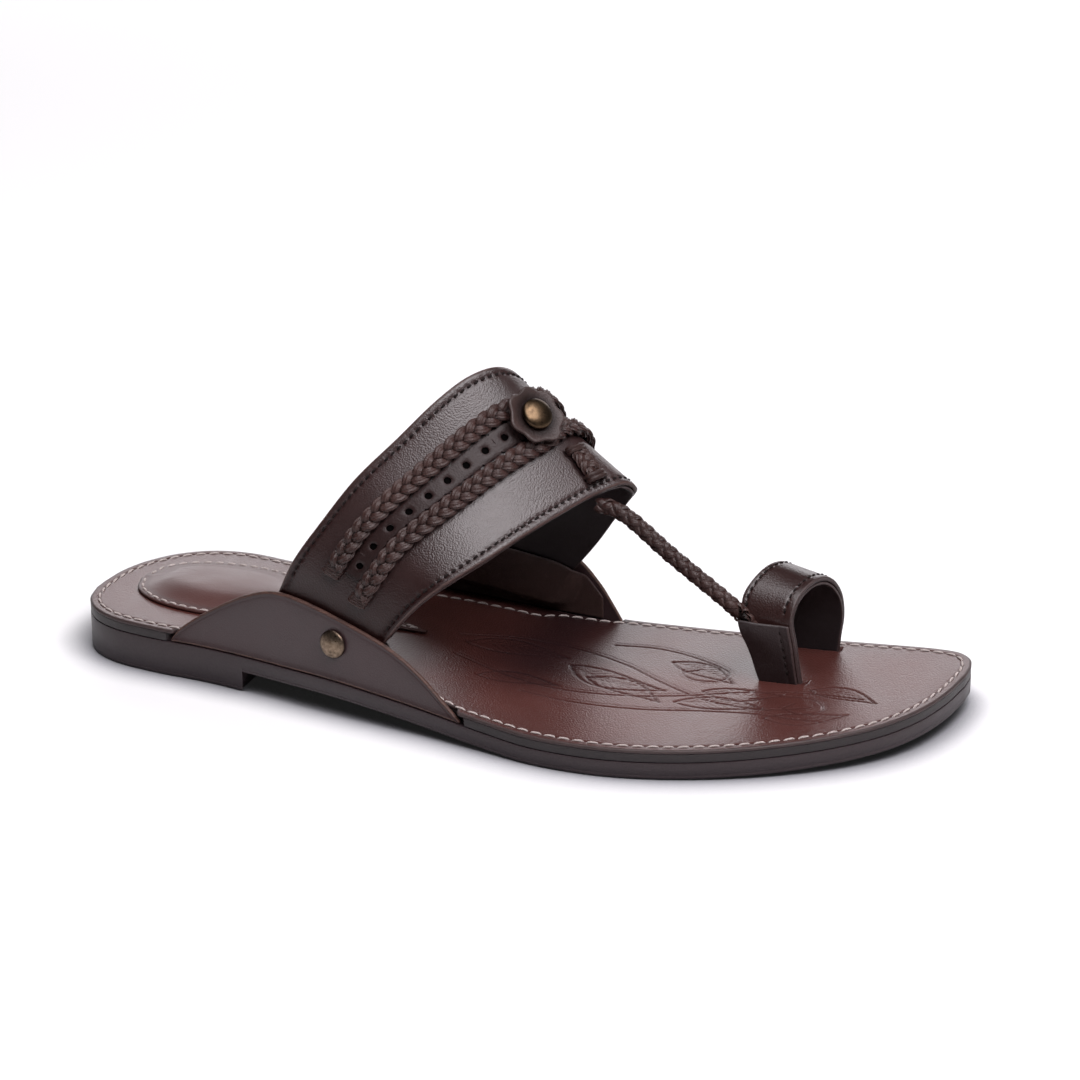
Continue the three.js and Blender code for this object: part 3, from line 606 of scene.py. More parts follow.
# ---------------- sole
def recess(flap_x):
    """How far a layer of the sole steps in beside a flap, starting late millimetres in from its ends."""
    return lambda x, late: FLAP_RECESS * rise_between(x, flap_x[0] + late, flap_x[1] - late, 1.2, 1.2)


LATERAL_RECESS, MEDIAL_RECESS = recess(LATERAL_FLAP_X), recess(MEDIAL_FLAP_X)


def plan(xs, late=None):
    """The outline's lateral and medial points at stations xs, and the inward direction at each."""
    low, high = lateral_edge(xs), medial_edge(xs)
    if late is not None:
        low, high = low + LATERAL_RECESS(xs, late), high - MEDIAL_RECESS(xs, late)
    lateral, medial = np.stack([xs, low], -1), np.stack([xs, high], -1)
    return (lateral, left_of(heading(lateral))), (medial, -left_of(heading(medial)))


def sole_stations(count, extra=()):
    s = np.linspace(0, 1, count)
    return np.sort(np.concatenate([mix(HEEL_X, TOE_X, mix(s, crowded(s), 0.75)), extra]))


def sole_plate(xs, profile, top, bottom, columns, late=None):
    """A closed layer: rings of (inset, height function) from its top edge to its bottom edge, with a grid of
    columns across its top face. All but the top face gets mark 1."""
    (lateral, lateral_in), (medial, medial_in) = plan(xs, late)
    n = len(xs)
    m = 2 * n
    rings = []
    for inset, height in profile:
        a, b = lateral + lateral_in * inset, medial + medial_in * inset
        for p in (a, b):
            p[:, 0] = np.clip(p[:, 0], xs[0] + inset * 0.8, xs[-1] - inset * 0.8)
        crossed = a[:, 1] > b[:, 1] - 0.2
        middle = (a[:, 1] + b[:, 1]) / 2
        a[crossed, 1], b[crossed, 1] = middle[crossed] - 0.1, middle[crossed] + 0.1
        x, y = np.vstack([a, b[::-1]]).T
        rings.append(points_of(x, y, height(x, y)))
    verts = [*rings]

    def cap(ring, height, cells):
        base, a, b = ring * m, rings[ring][:n, :2], rings[ring][n:, :2][::-1]
        ids = np.zeros((n, cells + 1), int)
        ids[:, 0], ids[:, -1] = base + np.arange(n), base + m - 1 - np.arange(n)
        if cells > 1:
            share = np.linspace(0, 1, cells + 1)[1:-1]
            xy = a[:, None] + (b - a)[:, None] * share[None, :, None]
            first = sum(map(len, verts))
            verts.append(points_of(xy[..., 0], xy[..., 1], height(xy[..., 0], xy[..., 1])).reshape(-1, 3))
            ids[:, 1:-1] = first + np.arange(n * (cells - 1)).reshape(n, -1)
        quads = np.stack([ids[:-1, :-1], ids[1:, :-1], ids[1:, 1:], ids[:-1, 1:]], -1)
        return quads.reshape(-1, 4).tolist()

    sides = ring_faces(len(rings), m)
    tops, bottoms = cap(0, top, columns), cap(len(rings) - 1, bottom, 1)
    return np.vstack(verts), sides + tops + bottoms, [1] * len(sides) + [0] * len(tops) + [1] * len(bottoms)


def below(depth):
    return lambda x, y: footbed_top(x) - depth


def tread(rise):
    """The tread's bottom: flat under the heel and a constant depth further forward."""
    def height(x, y):
        return rise + np.where(x < HEEL_BREAST_X, 0.0, np.maximum(footbed_top(x) - OUTSOLE_BOTTOM, 0))

    return height


def layer(*profile):
    """A layer's rings from pairs of inset and depth."""
    return [(inset, below(depth)) for inset, depth in profile]


def add_sole():
    rim = layer((4.4, OUTSOLE_TOP), (0.45, OUTSOLE_TOP), (0.1, OUTSOLE_TOP + 0.12), (0, OUTSOLE_TOP + 0.45))
    foot = [(0, 1.5), (0.1, 1.3), (0.1, 1.15), (0, 0.95), (0.05, 0.4), (0.3, 0.1), (0.8, 0)]
    rim += [(inset, tread(rise)) for inset, rise in foot]
    xs = sole_stations(260, [HEEL_BREAST_X - 0.02, HEEL_BREAST_X + 0.02])
    shape = plain(*sole_plate(xs, rim, below(OUTSOLE_TOP), tread(0), 1))
    make("sole_tread", shape, RUBBER, "outsole")

    top, bottom = 1.24, 4.12
    edge = [(1.6, top), (0.2, top), (0.1, 1.28), (0.07, 1.5)]
    edge += [(0.1, 3.6), (0.2, 3.95), (0.6, bottom), (1.6, bottom)]
    shape = plain(*sole_plate(sole_stations(300), layer(*edge), below(top), below(bottom), 1, late=-1.2))
    make("sole_midsole", shape, BOARD, "midsole", smooth_angle=40)


def stitch_row():
    """The closed line of stitching round the footbed, which keeps clear of the flap linings."""
    margin, by_lining, by_band = 3.0, 1.9, 4.7
    rows = []
    x = mix(HEEL_X, TOE_X, crowded(np.linspace(0, 1, 300)))
    for edge, (first, last), sign, (from_x, to_x) in (
        (lateral_edge, LATERAL_FLAP_X, 1, (-82, -20)), (medial_edge, MEDIAL_FLAP_X, -1, (-50, 10)),
    ):
        lining = rise_between(x, first + 2, last - 1, 6, 6)
        band = rise_between(x, from_x, to_x, 10, 10)
        p = np.stack([x, edge(x)], -1)
        inset = margin + by_lining * lining + by_band * band
        row = p + left_of(heading(p)) * sign * inset[:, None]
        rows.append(row[(row[:, 0] > HEEL_X + margin * 0.95) & (row[:, 0] < TOE_X - margin * 0.95)])
    ring = np.vstack([rows[0][::5], rows[1][::-1][::5]])
    return dense(np.vstack([ring, ring[:1]]), 12)


# ---------------- footbed
SCROLLS = [
    [(-18, 8), (0, 16), (20, 17), (38, 11), (54, 1), (70, -7), (88, -9), (104, -4)],
    [(-14, -6), (4, -12), (24, -15), (44, -13), (62, -7), (80, 2), (98, 7), (118, 6)],
    [(14, -21), (34, -23), (54, -21), (72, -16), (90, -13), (110, -14)],
    [(30, 25), (44, 27), (60, 23), (72, 15), (70, 8), (62, 7), (58, 11), (62, 15)],
    [(84, -2), (94, 3), (104, 2), (108, -5), (102, -9), (96, -6), (98, -2)],
]
LEAVES = [  # root, heading in degrees, length, half-width, bend
    ((-14, 4), 8, 34, 5.5, 2.5), ((22, 4), -14, 36, 6.0, -3.0), ((30, -3), -22, 30, 5.0, 2.5),
    ((52, 18), -24, 26, 4.6, 2.0), ((68, -1), 12, 26, 4.8, -2.0), ((62, -12), 6, 30, 4.6, 2.0),
    ((100, 10), -16, 24, 4.4, 2.0), ((-2, -17), 10, 26, 4.0, 2.0), ((92, -15), 18, 26, 4.4, -2.0),
]
LEG_SLOTS = [((83.5, 97.2), 14.0, 1.0), ((83.5, 100.4), 46.4, -1.0)]  # x range, outer face and inward side


def leaf_lines(root, turned, length, half, bend):
    """A leaf's outline, and its midrib and slanting veins."""
    turn = math.radians(turned)
    spin = np.array([[math.cos(turn), math.sin(turn)], [-math.sin(turn), math.cos(turn)]])

    def lay(share, across=0.0):
        """Points at shares of the leaf's length, and across its half-width from its bent midrib."""
        wide = half * np.sin(math.pi * share**0.75) ** 1.2
        rib = bend * np.sin(math.pi * share)
        return np.array(root) + np.stack([length * share, rib + across * wide], -1) @ spin

    t = np.linspace(0, 1, 160)
    bold, fine = [lay(t, 1), lay(t, -1)], [lay(t[:-14])]
    for start in np.arange(0.16, 0.8, 0.085):
        for sign in (-1, 1):
            fine.append(lay(np.linspace(start, start + 0.17, 40), sign * np.linspace(0, 0.92, 40)))
    return bold, fine


def flourish():
    """A generic tooled scroll for the footbed: doubled flowing lines with veined leaves between them."""
    bold = [dense(scroll, 120) for scroll in SCROLLS]
    fine = [line + left_of(heading(line)) * 1.5 for line in bold]
    for leaf in LEAVES:
        outlines, veins = leaf_lines(*leaf)
        bold += outlines
        fine += veins
    return np.vstack(bold), np.vstack(fine)


def tooled_top(x, y):
    """The footbed's top, with its stitch groove, its tooling and the two slots for the toe loop's legs."""
    spots = np.stack([x, y], -1)
    bold, fine = flourish()
    relief = crease(distance_to(spots, STITCH_ROW), 0.6, 0.26)
    relief += crease(distance_to(spots, bold), 0.4, 0.34) + crease(distance_to(spots, fine), 0.3, 0.16)
    for (x0, x1), y0, side in LEG_SLOTS:
        across = rise_between((y - y0) * side, -0.5, 3.5, 0.6, 0.6)
        relief -= 0.9 * across * rise_between(x, x0 - 0.6, x1 + 0.8, 0.8, 0.8)
    return footbed_top(x) + relief


STITCH_ROW = stitch_row()
UP = np.array([0.0, 0.0, 1.0])


def on_footbed(row, rise):
    """A flat line laid on the footbed, and the upward direction at its points."""
    return np.column_stack([row, footbed_top(row[:, 0]) + rise]), np.tile(UP, (len(row), 1))


def add_footbed():
    edge = layer((0.75, 0), (0.35, 0.05), (0.1, 0.25), (0, 0.6), (0.06, 1.1), (0.2, 1.2), (1.6, 1.2))
    shape = sole_plate(sole_stations(780), edge, tooled_top, below(1.2), 200, late=0.6)
    obj = make("footbed", shape, [FOOTBED, DARK_EDGE], "footbed_cover", smooth_angle=60)
    p = drawn(obj)
    outline = dense([*LATERAL_EDGE, *MEDIAL_EDGE[::-1], LATERAL_EDGE[0]], 10)
    # The tone: painted shadow and dark reflection of the band above, darker towards the outline, and darker
    # where the top sinks into the stitch groove, tooling and leg slots.
    painted_band_shade = 0.95 * np.exp(-(((p[:, 0] - 12) / 22) ** 2)) * smooth((p[:, 1] + 34) / 36)
    rim = 0.45 * np.exp(-distance_to(p[:, :2], outline) / 4)
    paint_tone(obj, painted_band_shade + rim + 0.35 * smooth((footbed_top(p[:, 0]) - p[:, 2]) / 0.3))
    line, up = on_footbed(STITCH_ROW, 0)
    sew("footbed_stitches", line, up, FOOTBED_STITCH, CREAM, "footbed_thread")


# ---------------- heel pad
PAD_LATERAL = edge_of([
    (-133.4, 9), (-130.4, 1), (-121.5, -6.6), (-107, -11), (-92, -11.2), (-72, -7.6), (-50, -2.2), (-27, 1.4),
])
PAD_MEDIAL = edge_of([
    (-133.4, 14), (-130.8, 23), (-121.5, 30.2), (-107, 33), (-92, 31.6), (-72, 22), (-50, 10), (-27, 3.4),
])
PAD_X, PAD_SPINE_X = (-133.4, -27), (-110, -33)
FLANGE = 3.0
PUFF_CAP = 0.5  # the most that the cloth may move


def pad_line(inset):
    """The pad's outline, moved in by inset, as a closed line of points."""
    x = mix(*PAD_X, crowded(np.linspace(0, 1, 260)))
    ring = np.vstack([np.stack([x, PAD_LATERAL(x)], -1), np.stack([x, PAD_MEDIAL(x)], -1)[::-1]])
    moved = ring + left_of(unit(np.roll(ring, -2, 0) - np.roll(ring, 2, 0))) * inset
    return moved[distance_to(moved, ring) > inset - 0.08]


def pad_height(edge):
    """Height of the pad's top over the footbed, at a distance in from its edge."""
    puff = 2.7 * smooth((edge - FLANGE + 0.6) / 11.5) ** 0.8
    return 0.8 + 0.4 * smooth(edge / 1.6) + puff + crease(edge - 1.7, 0.5, 0.22)


def add_heel_pad():
    """Rings shrink from the pad's outline towards its spine: four round its edge, the rest over its top."""
    border = pad_line(0)
    closed = np.vstack([border, border[:1]])
    ring = at(closed, np.linspace(0, arc(closed)[-1], 361)[:-1])
    spine_x = np.clip(ring[:, 0], *PAD_SPINE_X)
    inward = np.stack([spine_x, (PAD_LATERAL(spine_x) + PAD_MEDIAL(spine_x)) / 2], -1) - ring
    rings = [on_footbed(ring + unit(inward) * inset, rise)[0]
             for inset, rise in ((0.4, 0.25), (0.08, 0.33), (0.0, 0.5), (0.12, 0.72))]
    for share in [*np.linspace(0, 0.3, 14)[1:], *np.linspace(0.3, 1, 24)[1:-1]]:
        p = ring + inward * share
        rings.append(on_footbed(p, pad_height(distance_to(p, border)))[0])
    m = len(ring)
    last = (len(rings) - 1) * m
    faces = ring_faces(len(rings), m)
    for j in range(m // 2 - 1):
        faces.append([last + j, last + j + 1, last + m - 2 - j, last + m - 1 - j])
        faces.append([m - 1 - j, m - 2 - j, j + 1, j])
    shape = plain(np.vstack(rings), faces)
    obj = make("heel_pad", shape, PAD, "heel_pad_cover", smooth_angle=80)
    puff_up(obj)
    edge = distance_to(drawn(obj)[:, :2], border)
    # The tone: darker along the pad's edge, and painted shade along the foot of its swell.
    paint_tone(obj, 0.8 * np.exp(-((edge / 1.1) ** 2)) + 0.5 * np.exp(-(((edge - FLANGE) / 0.9) ** 2)))
    line, up = on_footbed(pad_line(1.7), 1.06)
    sew("heel_pad_stitches", line, up, PAD_STITCH, CREAM, "heel_pad_thread")


def puff_up(obj):
    """Lets the pad's cover swell a little over its foam. The flange stays where it is sewn."""
    rest = drawn(obj)
    edge = distance_to(rest[:, :2], pad_line(0))
    above = rest[:, 2] - footbed_top(rest[:, 0])
    held = 1 - smooth((edge - FLANGE - 0.5) / 4) * (above > 1.2)
    group = obj.vertex_groups.new(name="sewn")
    for i, weight in enumerate(held):
        group.add([i], float(weight), "REPLACE")
    cloth = obj.modifiers.new("cloth", "CLOTH")
    cloth.settings.vertex_group_mass = "sewn"
    cloth.settings.use_pressure = True
    cloth.settings.uniform_pressure_force = 4
    cloth.settings.effector_weights.gravity = 0
    for step in range(1, 21):
        bpy.context.scene.frame_set(step)
    swollen = obj.evaluated_get(bpy.context.evaluated_depsgraph_get()).data
    travel = np.array([v.co for v in swollen.vertices]) / MM - CENTRING - rest
    obj.modifiers.remove(cloth)
    obj.vertex_groups.remove(group)
    bpy.context.scene.frame_set(1)
    size = np.linalg.norm(travel, axis=1, keepdims=True)
    travel *= np.minimum(1, PUFF_CAP / np.maximum(size, 1e-6)) * (1 - held[:, None])
    co = (rest + travel + CENTRING) * MM
    obj.data.vertices.foreach_set("co", co.astype(np.float32).ravel())
    obj.data.update()


# ---------------- flaps and rivets
class Flap:
    """A side flap that rises from the sole's edge and leans in. rear, front and rivet are (x, z) on it."""

    def __init__(self, side, edge, crest, rear, front, rivet):
        self.side, self.edge, self.rear, self.front, self.rivet = side, edge, rear, front, rivet
        self.crest = edge_of(crest)
        self.first, self.last = crest[0][0], crest[-1][0]

    def point(self, x, z, depth):
        rise = z - footbed_top(x) + OUTSOLE_TOP
        return points_of(x, self.edge(x) - self.side * (GAP + FLAP_LEAN * rise + depth), z)

    def lining_depth(self, x, z):
        """The lining's depth, greater where it passes over the band's end."""
        swell = 7
        from_rear = x - self.rear[0] - 0.5 * (z - self.rear[1]) + swell + 2
        from_front = self.front[0] + 0.5 * (z - self.front[1]) - x + swell + 2
        share = np.clip((x - self.rear[0]) / (self.front[0] - self.rear[0]), 0, 1)
        above = z - mix(self.rear[1], self.front[1], share)
        over = smooth(from_rear / swell) * smooth(from_front / swell) * smooth((above + 6) / 5)
        return mix(LEATHER + GAP, COVERED_DEPTH, over)

    def relief(self, x, z, above, under_crest):
        """The outer face: it dips round the rivet, is creased along its crest and swells at its foot."""
        from_rivet = np.hypot(x - self.rivet[0], z - self.rivet[1])
        dent = crease(from_rivet, 6.5, 0.3)
        return dent + crease(under_crest - 1.5, 0.35, 0.1) + 0.25 * smooth((2.2 - above) / 2.2)

    def seat(self):
        """The rivet's place and the flap's outward direction there."""
        x, z = self.rivet
        here = self.point(x, z, 0)
        normal = unit(np.cross(self.point(x + 4, z, 0) - here, self.point(x, z + 4, 0) - here))
        return here, normal if normal[1] * self.side > 0 else -normal

    def sheet(self, foot, trim, depth, thick, relief, rows, count, rim):
        """A sheet from its foot up to the crest, whose outer face lies depth under the flap's own."""
        first, last = self.first + trim, self.last - trim

        def spot(u, v):
            x = mix(first, last, u)
            base = footbed_top(x) + foot
            tall = np.maximum(base + 0.5, self.crest(x) - trim / 3) - base
            return x, base + tall * v, tall

        def place(u, v, w):
            x, z, _ = spot(u, v)
            return self.point(x, z, depth(x, z) - w)

        def face(u, v):
            x, z, tall = spot(u, v)
            return relief(x, z, tall * v, tall * (1 - v))

        places = stations(0, 1, count, 0.6 / (last - first))
        rows = np.linspace(0, 1, rows)
        return slab(place, places, lambda u: spot(u, 0)[2], rows, -thick, face if relief else 0, rim)


LATERAL = Flap(
    -1, lateral_edge,
    [(-105, 12.6), (-102.8, 15.8), (-97.6, 20.2), (-89, 26), (-77, 32.6), (-67, 36), (-57, 35.8), (-40, 32),
     (-23, 26.4), (-12, 20), (-4, 13.6), (3, 8)],
    (-70.5, 25), (-33, 17.5), (-43, 24),
)
MEDIAL = Flap(
    1, medial_edge,
    [(-76, 12.6), (-69, 20.6), (-60, 28.6), (-48, 35.6), (-38, 38.6), (-28, 38.6), (-8, 35.8), (9.6, 31.2),
     (17.6, 22.8), (22.4, 15), (26.4, 7.6)],
    (-38, 25), (2, 17.5), (-12, 25),
)
RIVET_CAP = [
    (0.0, 0.0), (3.9, 0.0), (4.35, 0.1), (4.62, 0.42), (4.6, 0.75), (4.35, 1.05), (3.95, 1.3), (3.4, 1.55),
    (2.6, 1.82), (1.7, 2.02), (0.8, 2.13), (0.0, 2.16),
]


def add_flap(side, flap):
    seam = GAP - OUTSOLE_TOP
    shape = flap.sheet(seam, 0, lambda x, z: 0 * x, LEATHER, flap.relief, 60, 240, 0.7)
    obj = make(f"{side}_flap_shell", shape, [FLAP, TAN_EDGE], f"{side}_flap")
    x, _, z = drawn(obj).T
    paint_tone(obj, 0.5 * np.exp((z - flap.crest(x)) / 2.5) + 0.6 * np.exp((footbed_top(x) + seam - z) / 2.2))
    shape = flap.sheet(GAP, 7, flap.lining_depth, LINING, None, 40, 150, 0.4)
    make(f"{side}_flap_inner", shape, [FLAP_INNER, DARK_EDGE], f"{side}_flap_lining")
    add_turned(f"{side}_rivet", RIVET_CAP, *flap.seat(), BRASS, f"{side}_rivet_cap")
    dress(f"{side}_rivet_post", BRASS)


# ---------------- straps
class Strap:
    """A strap between two edge curves: u along it, v from rear to front, w out of its face."""

    def __init__(self, rear, front):
        self.edges = [(line, arc(line)) for line in (dense(rear), dense(front))]
        self.length = self.edges[0][1][-1]

    def face(self, u, v):
        u, v = np.broadcast_arrays(np.clip(np.asarray(u, float), 0, 1), np.asarray(v, float))
        rear, front = (at_rows(line, along, u * along[-1]) for line, along in self.edges)
        return rear + (front - rear) * v[..., None]

    def normal(self, u, v):
        u, v, step = np.asarray(u, float), np.asarray(v, float), 0.01
        across = self.face(u, v + step) - self.face(u, v - step)
        return unit(np.cross(across, self.face(u + step, v) - self.face(u - step, v)))

    def __call__(self, u, v, w=0.0):
        return self.face(u, v) + self.normal(u, v) * np.asarray(w, float)[..., None]

    def width(self, u):
        return np.linalg.norm(self.face(u, 1.0) - self.face(u, 0.0), axis=-1)

    def lane(self, u, v, w):
        """Points, normals and sideways directions of a line on the strap."""
        line, normal = self(u, v + 0 * u, w + 0 * u), self.normal(u, v + 0 * u)
        return line, normal, unit(np.cross(normal, heading(line)))

    def sheet(self, u, rows, low, high, count, rim, v=(0.0, 1.0), end_round=0.6):
        """A rounded sheet between u[0] and u[1]. v holds its two edges, as numbers or functions of u."""
        v0, v1 = (value if callable(value) else (lambda q, k=value: k + 0 * q) for value in v)
        places = stations(*u, count, end_round / self.length)
        rows = np.linspace(0, 1, rows) if isinstance(rows, int) else rows
        return slab(
            lambda q, r, w: self(q, mix(v0(q), v1(q), r), w), places,
            lambda q: self.width(q) * (v1(q) - v0(q)), rows, low, high, rim,
        )


def foot(flap, *spot):
    return tuple(flap.point(*spot, BAND_DEPTH))


BAND = Strap(
    [foot(LATERAL, -70.5, 25), foot(LATERAL, -65.6, 35), (-59, -30.6, 48), (-50.5, -27.5, 61),
     (-41, -22, 74.5), (-30, -13.6, 86.5), (-20, -4, 97.5), (-12.6, 5, 103.4), (-7, 14, 104.4),
     (-4, 22.6, 100.6), (-3.4, 31, 92), (-6.4, 36.4, 80), (-12.5, 38.8, 66), (-20, 39.2, 52),
     foot(MEDIAL, -30, 38), foot(MEDIAL, -38, 25)],
    [foot(LATERAL, -33, 17.5), foot(LATERAL, -26, 26), (-20, -38.4, 34), (-13, -38.4, 42),
     (-6.5, -36.5, 47.8), (4, -28, 54.6), (12, -17, 59.4), (20.6, -3, 63.6), (28, 10, 66.8),
     (34.6, 21, 68), (36, 28.6, 63.6), (31.4, 34.4, 57), (26, 38, 49.6), (20.2, 40, 41),
     foot(MEDIAL, 11.6, 30), foot(MEDIAL, 2, 17.5)],
)
TOE_LOOP = Strap(
    [(84, 14, 6.6), (81.8, 14, 12), (78.6, 14, 22), (75.8, 14.3, 30), (75, 17, 36), (76.8, 21.6, 40.4),
     (80, 28.4, 43.4), (83, 35.6, 42.4), (84.8, 41.6, 36.6), (85.2, 45.4, 27), (84.4, 46.4, 16),
     (84, 46.4, 6.6)],
    [(96.4, 14, 6.6), (95.2, 14, 12), (93.6, 14, 22), (92, 14.6, 30.6), (92.6, 17, 35.6), (93.8, 21, 38.8),
     (96.6, 29, 40.6), (99, 37, 38), (100.8, 43, 31.4), (101.2, 45.8, 23), (100.2, 46.4, 14),
     (99.6, 46.4, 6.8)],
)
BAND_SEAMS, TOE_SEAMS = {"rear": 0.055, "front": 0.945}, {"rear": 0.1, "front": 0.84}  # each one's v
BAND_PITCH, TOE_PITCH = 3.1, 2.6
LINING_FACE = -LEATHER - GAP


def add_lining(name, strap, u, rows, count, stands_for):
    shape = strap.sheet(u, rows, LINING_FACE - LINING, LINING_FACE, count, 0.4)
    make(name, shape, [INNER, DARK_EDGE], stands_for)


def sew_strap(name, strap, u, v, lift, stitch, stands_for):
    line, normal, _ = strap.lane(u, v, lift)
    sew(name, line, normal, stitch, BROWN, stands_for)


def band_relief(u, v):
    """The band's face: it sinks along both seams, puckers at each stitch and rolls over at its edges."""
    width = BAND.width(u)
    pucker = 0.65 + 0.35 * np.cos(TAU * u * BAND.length / BAND_PITCH)
    relief = sum(crease((v - seam) * width, 0.8, 0.38) * pucker for seam in BAND_SEAMS.values())
    return relief - 0.25 * smooth((1.2 - np.minimum(v, 1 - v) * width) / 1.2)


def add_band():
    rows = np.concatenate([np.linspace(0, 0.1, 22), np.linspace(0.1, 0.9, 46)[1:-1], np.linspace(0.9, 1, 22)])
    shape = BAND.sheet((0, 1), rows, -LEATHER, band_relief, 420, 0.7)
    obj = make("instep_band", shape, [UPPER, RAW_EDGE], "vamp_band")
    p = drawn(obj)
    # The tone: painted shade over the band's low outer side, and darker along both seams.
    shaded_low_outside = smooth((62 - p[:, 2]) / 26) * smooth((10 - p[:, 1]) / 20)
    along = np.linspace(0, 1, 500)
    from_seam = np.minimum(*(distance_to(p, BAND(along, 0 * along + v)) for v in BAND_SEAMS.values()))
    paint_tone(obj, 0.75 * shaded_low_outside + 0.35 * np.exp(-((from_seam / 1.2) ** 2)))
    add_lining("band_inner", BAND, (0.075, 0.925), 24, 180, "vamp_lining")
    along = np.linspace(0.09, 0.895, 500)
    for end, seam in BAND_SEAMS.items():
        sew_strap(f"band_{end}_stitches", BAND, along, seam, -0.15, BAND_STITCH, f"vamp_{end}_thread")


# ---------------- braids
def beyond(u):
    """Past the flower both braids lie further back."""
    return smooth((u - 0.52) / 0.07)


def rear_lane(u):
    return 0.29 + 0.04 * smooth((np.abs(u - 0.5) - 0.27) / 0.1) - 0.04 * beyond(u)


def front_lane(u):
    return 0.57 + 0.06 * smooth((np.abs(u - 0.5) - 0.25) / 0.12) - 0.06 * beyond(u)


LANES = {"rear": (rear_lane, 0.15, 0.85), "front": (front_lane, 0.13, 0.87)}


def add_braided(name, strands, stands_for):
    return make(name, joined(strands), BRAID, stands_for, smooth_angle=70)


def add_plait(name, lane, width, thick, period, depths, stands_for):
    """Three strands woven flat along a line, with painted shade in the hollows between them. depths are how
    far over the line the strands stand out most, and the thickness that the painted shade spreads over."""
    line, normal, side = lane
    along = arc(line)
    s = np.linspace(0, along[-1], int(along[-1] / 0.42))
    p, n, b = at(line, s), unit(at_rows(normal, along, s)), unit(at_rows(side, along, s))
    half, rise = width * 0.215, thick * 0.24
    closing = np.clip(np.minimum(s, s[-1] - s) / (period * 0.25), 0, 1) ** 0.5
    strands = []
    for k in range(3):
        phase = TAU * (s / period + k / 3)
        swing = (width / 2 - half) * np.sin(phase) * (0.6 + 0.4 * closing)
        path = p + b * swing[:, None] + n * (thick / 2 + rise * np.sin(2 * phase))[:, None]
        ahead = heading(path)
        across = unit(np.cross(n, ahead))
        up = unit(np.cross(ahead, across))
        strands.append(tube(path, across, up, half * 1.06, (thick / 2 - rise) * 1.05, 32, 0.13))
    obj = add_braided(name, strands, stands_for)
    over, spread = depths
    depth = distance_to(drawn(obj), line + normal * over)
    paint_tone(obj, 0.95 * smooth((0.56 * spread - depth) / (0.26 * spread)))


def add_braids():
    """Both braids on the band, each with four bars of thread across its ends."""
    for name, (lane, first, last) in LANES.items():
        u = np.linspace(first, last, 700)
        depths = BRAID_THICK * 0.4, BRAID_THICK
        add_plait(
            f"{name}_plait", BAND.lane(u, lane(u), TRIM_GAP), 6.2, BRAID_THICK, 12.6, depths, f"{name}_braid"
        )
        for end, u_end, reach in (("lateral", first, (-0.017, -0.004)), ("medial", last, (0.004, 0.017))):
            across = np.linspace(-1, 1, 24)
            v = lane(u_end) + across / 2 * 6.4 / BAND.width(u_end)
            arch = TRIM_GAP + 0.5 + 1.1 * (1 - across**4)
            bars = []
            for step in np.linspace(*reach, 4):
                bar, up, side = BAND.lane(0 * v + u_end + step, v, arch)
                bars.append(tube(bar, side, up, 0.5, 0.5))
            add_braided(f"{name}_plait_{end}_bar", bars, f"{name}_braid_{end}_binding")


# ---------------- punched strip
HOLE_PITCH, HOLE_RADIUS, HOLE_SIDES = 0.0385, 1.18, 32
STRIP_TOP = TRIM_GAP + STRIP
STUD_U, STUD_V = 0.53, 0.41
HOLES = [u for u in 0.17 + HOLE_PITCH * np.arange(18) if abs(u - STUD_U) > HOLE_PITCH]


def strip_edge(lane, side):
    return lambda u: lane(u) + side * (BRAID_WIDTH / 2 + 0.7) / BAND.width(u)


STRIP_REAR, STRIP_FRONT = strip_edge(rear_lane, 1), strip_edge(front_lane, -1)


def punched_cell(u):
    """The strip's stretch round one hole: seven rings, each between the hole's circle and the cell's edge."""
    v0, v1 = STRIP_REAR(u), STRIP_FRONT(u)
    angle = (np.arange(HOLE_SIDES) + 0.5) * TAU / HOLE_SIDES
    c, s = np.cos(angle), np.sin(angle)
    square = np.stack([c, s]) / np.maximum(np.abs(c), np.abs(s))
    u_edge = u + HOLE_PITCH / 2 * square[0]
    r0, r1 = STRIP_REAR(u_edge), STRIP_FRONT(u_edge)
    v_edge = (r0 + r1) / 2 + square[1] * (r1 - r0) / 2
    length = (BAND.length + BAND.edges[1][1][-1]) / 2
    rings = []
    for share, r, w in (
        (1.0, 0, TRIM_GAP), (0.0, HOLE_RADIUS, TRIM_GAP), (0.0, HOLE_RADIUS, STRIP_TOP - 0.22),
        (0.0, HOLE_RADIUS + 0.26, STRIP_TOP - 0.02), (0.35, HOLE_RADIUS + 0.3, STRIP_TOP),
        (0.93, HOLE_RADIUS, STRIP_TOP), (1.0, 0, STRIP_TOP - 0.12 * (np.abs(square[1]) > 0.999)),
    ):
        u_hole, v_hole = u + r * c / length, (v0 + v1) / 2 + r * s / BAND.width(u)
        rings.append(BAND(mix(u_hole, u_edge, share), mix(v_hole, v_edge, share), w * np.ones(HOLE_SIDES)))
    return np.vstack(rings), ring_faces(len(rings), HOLE_SIDES, closed=True)


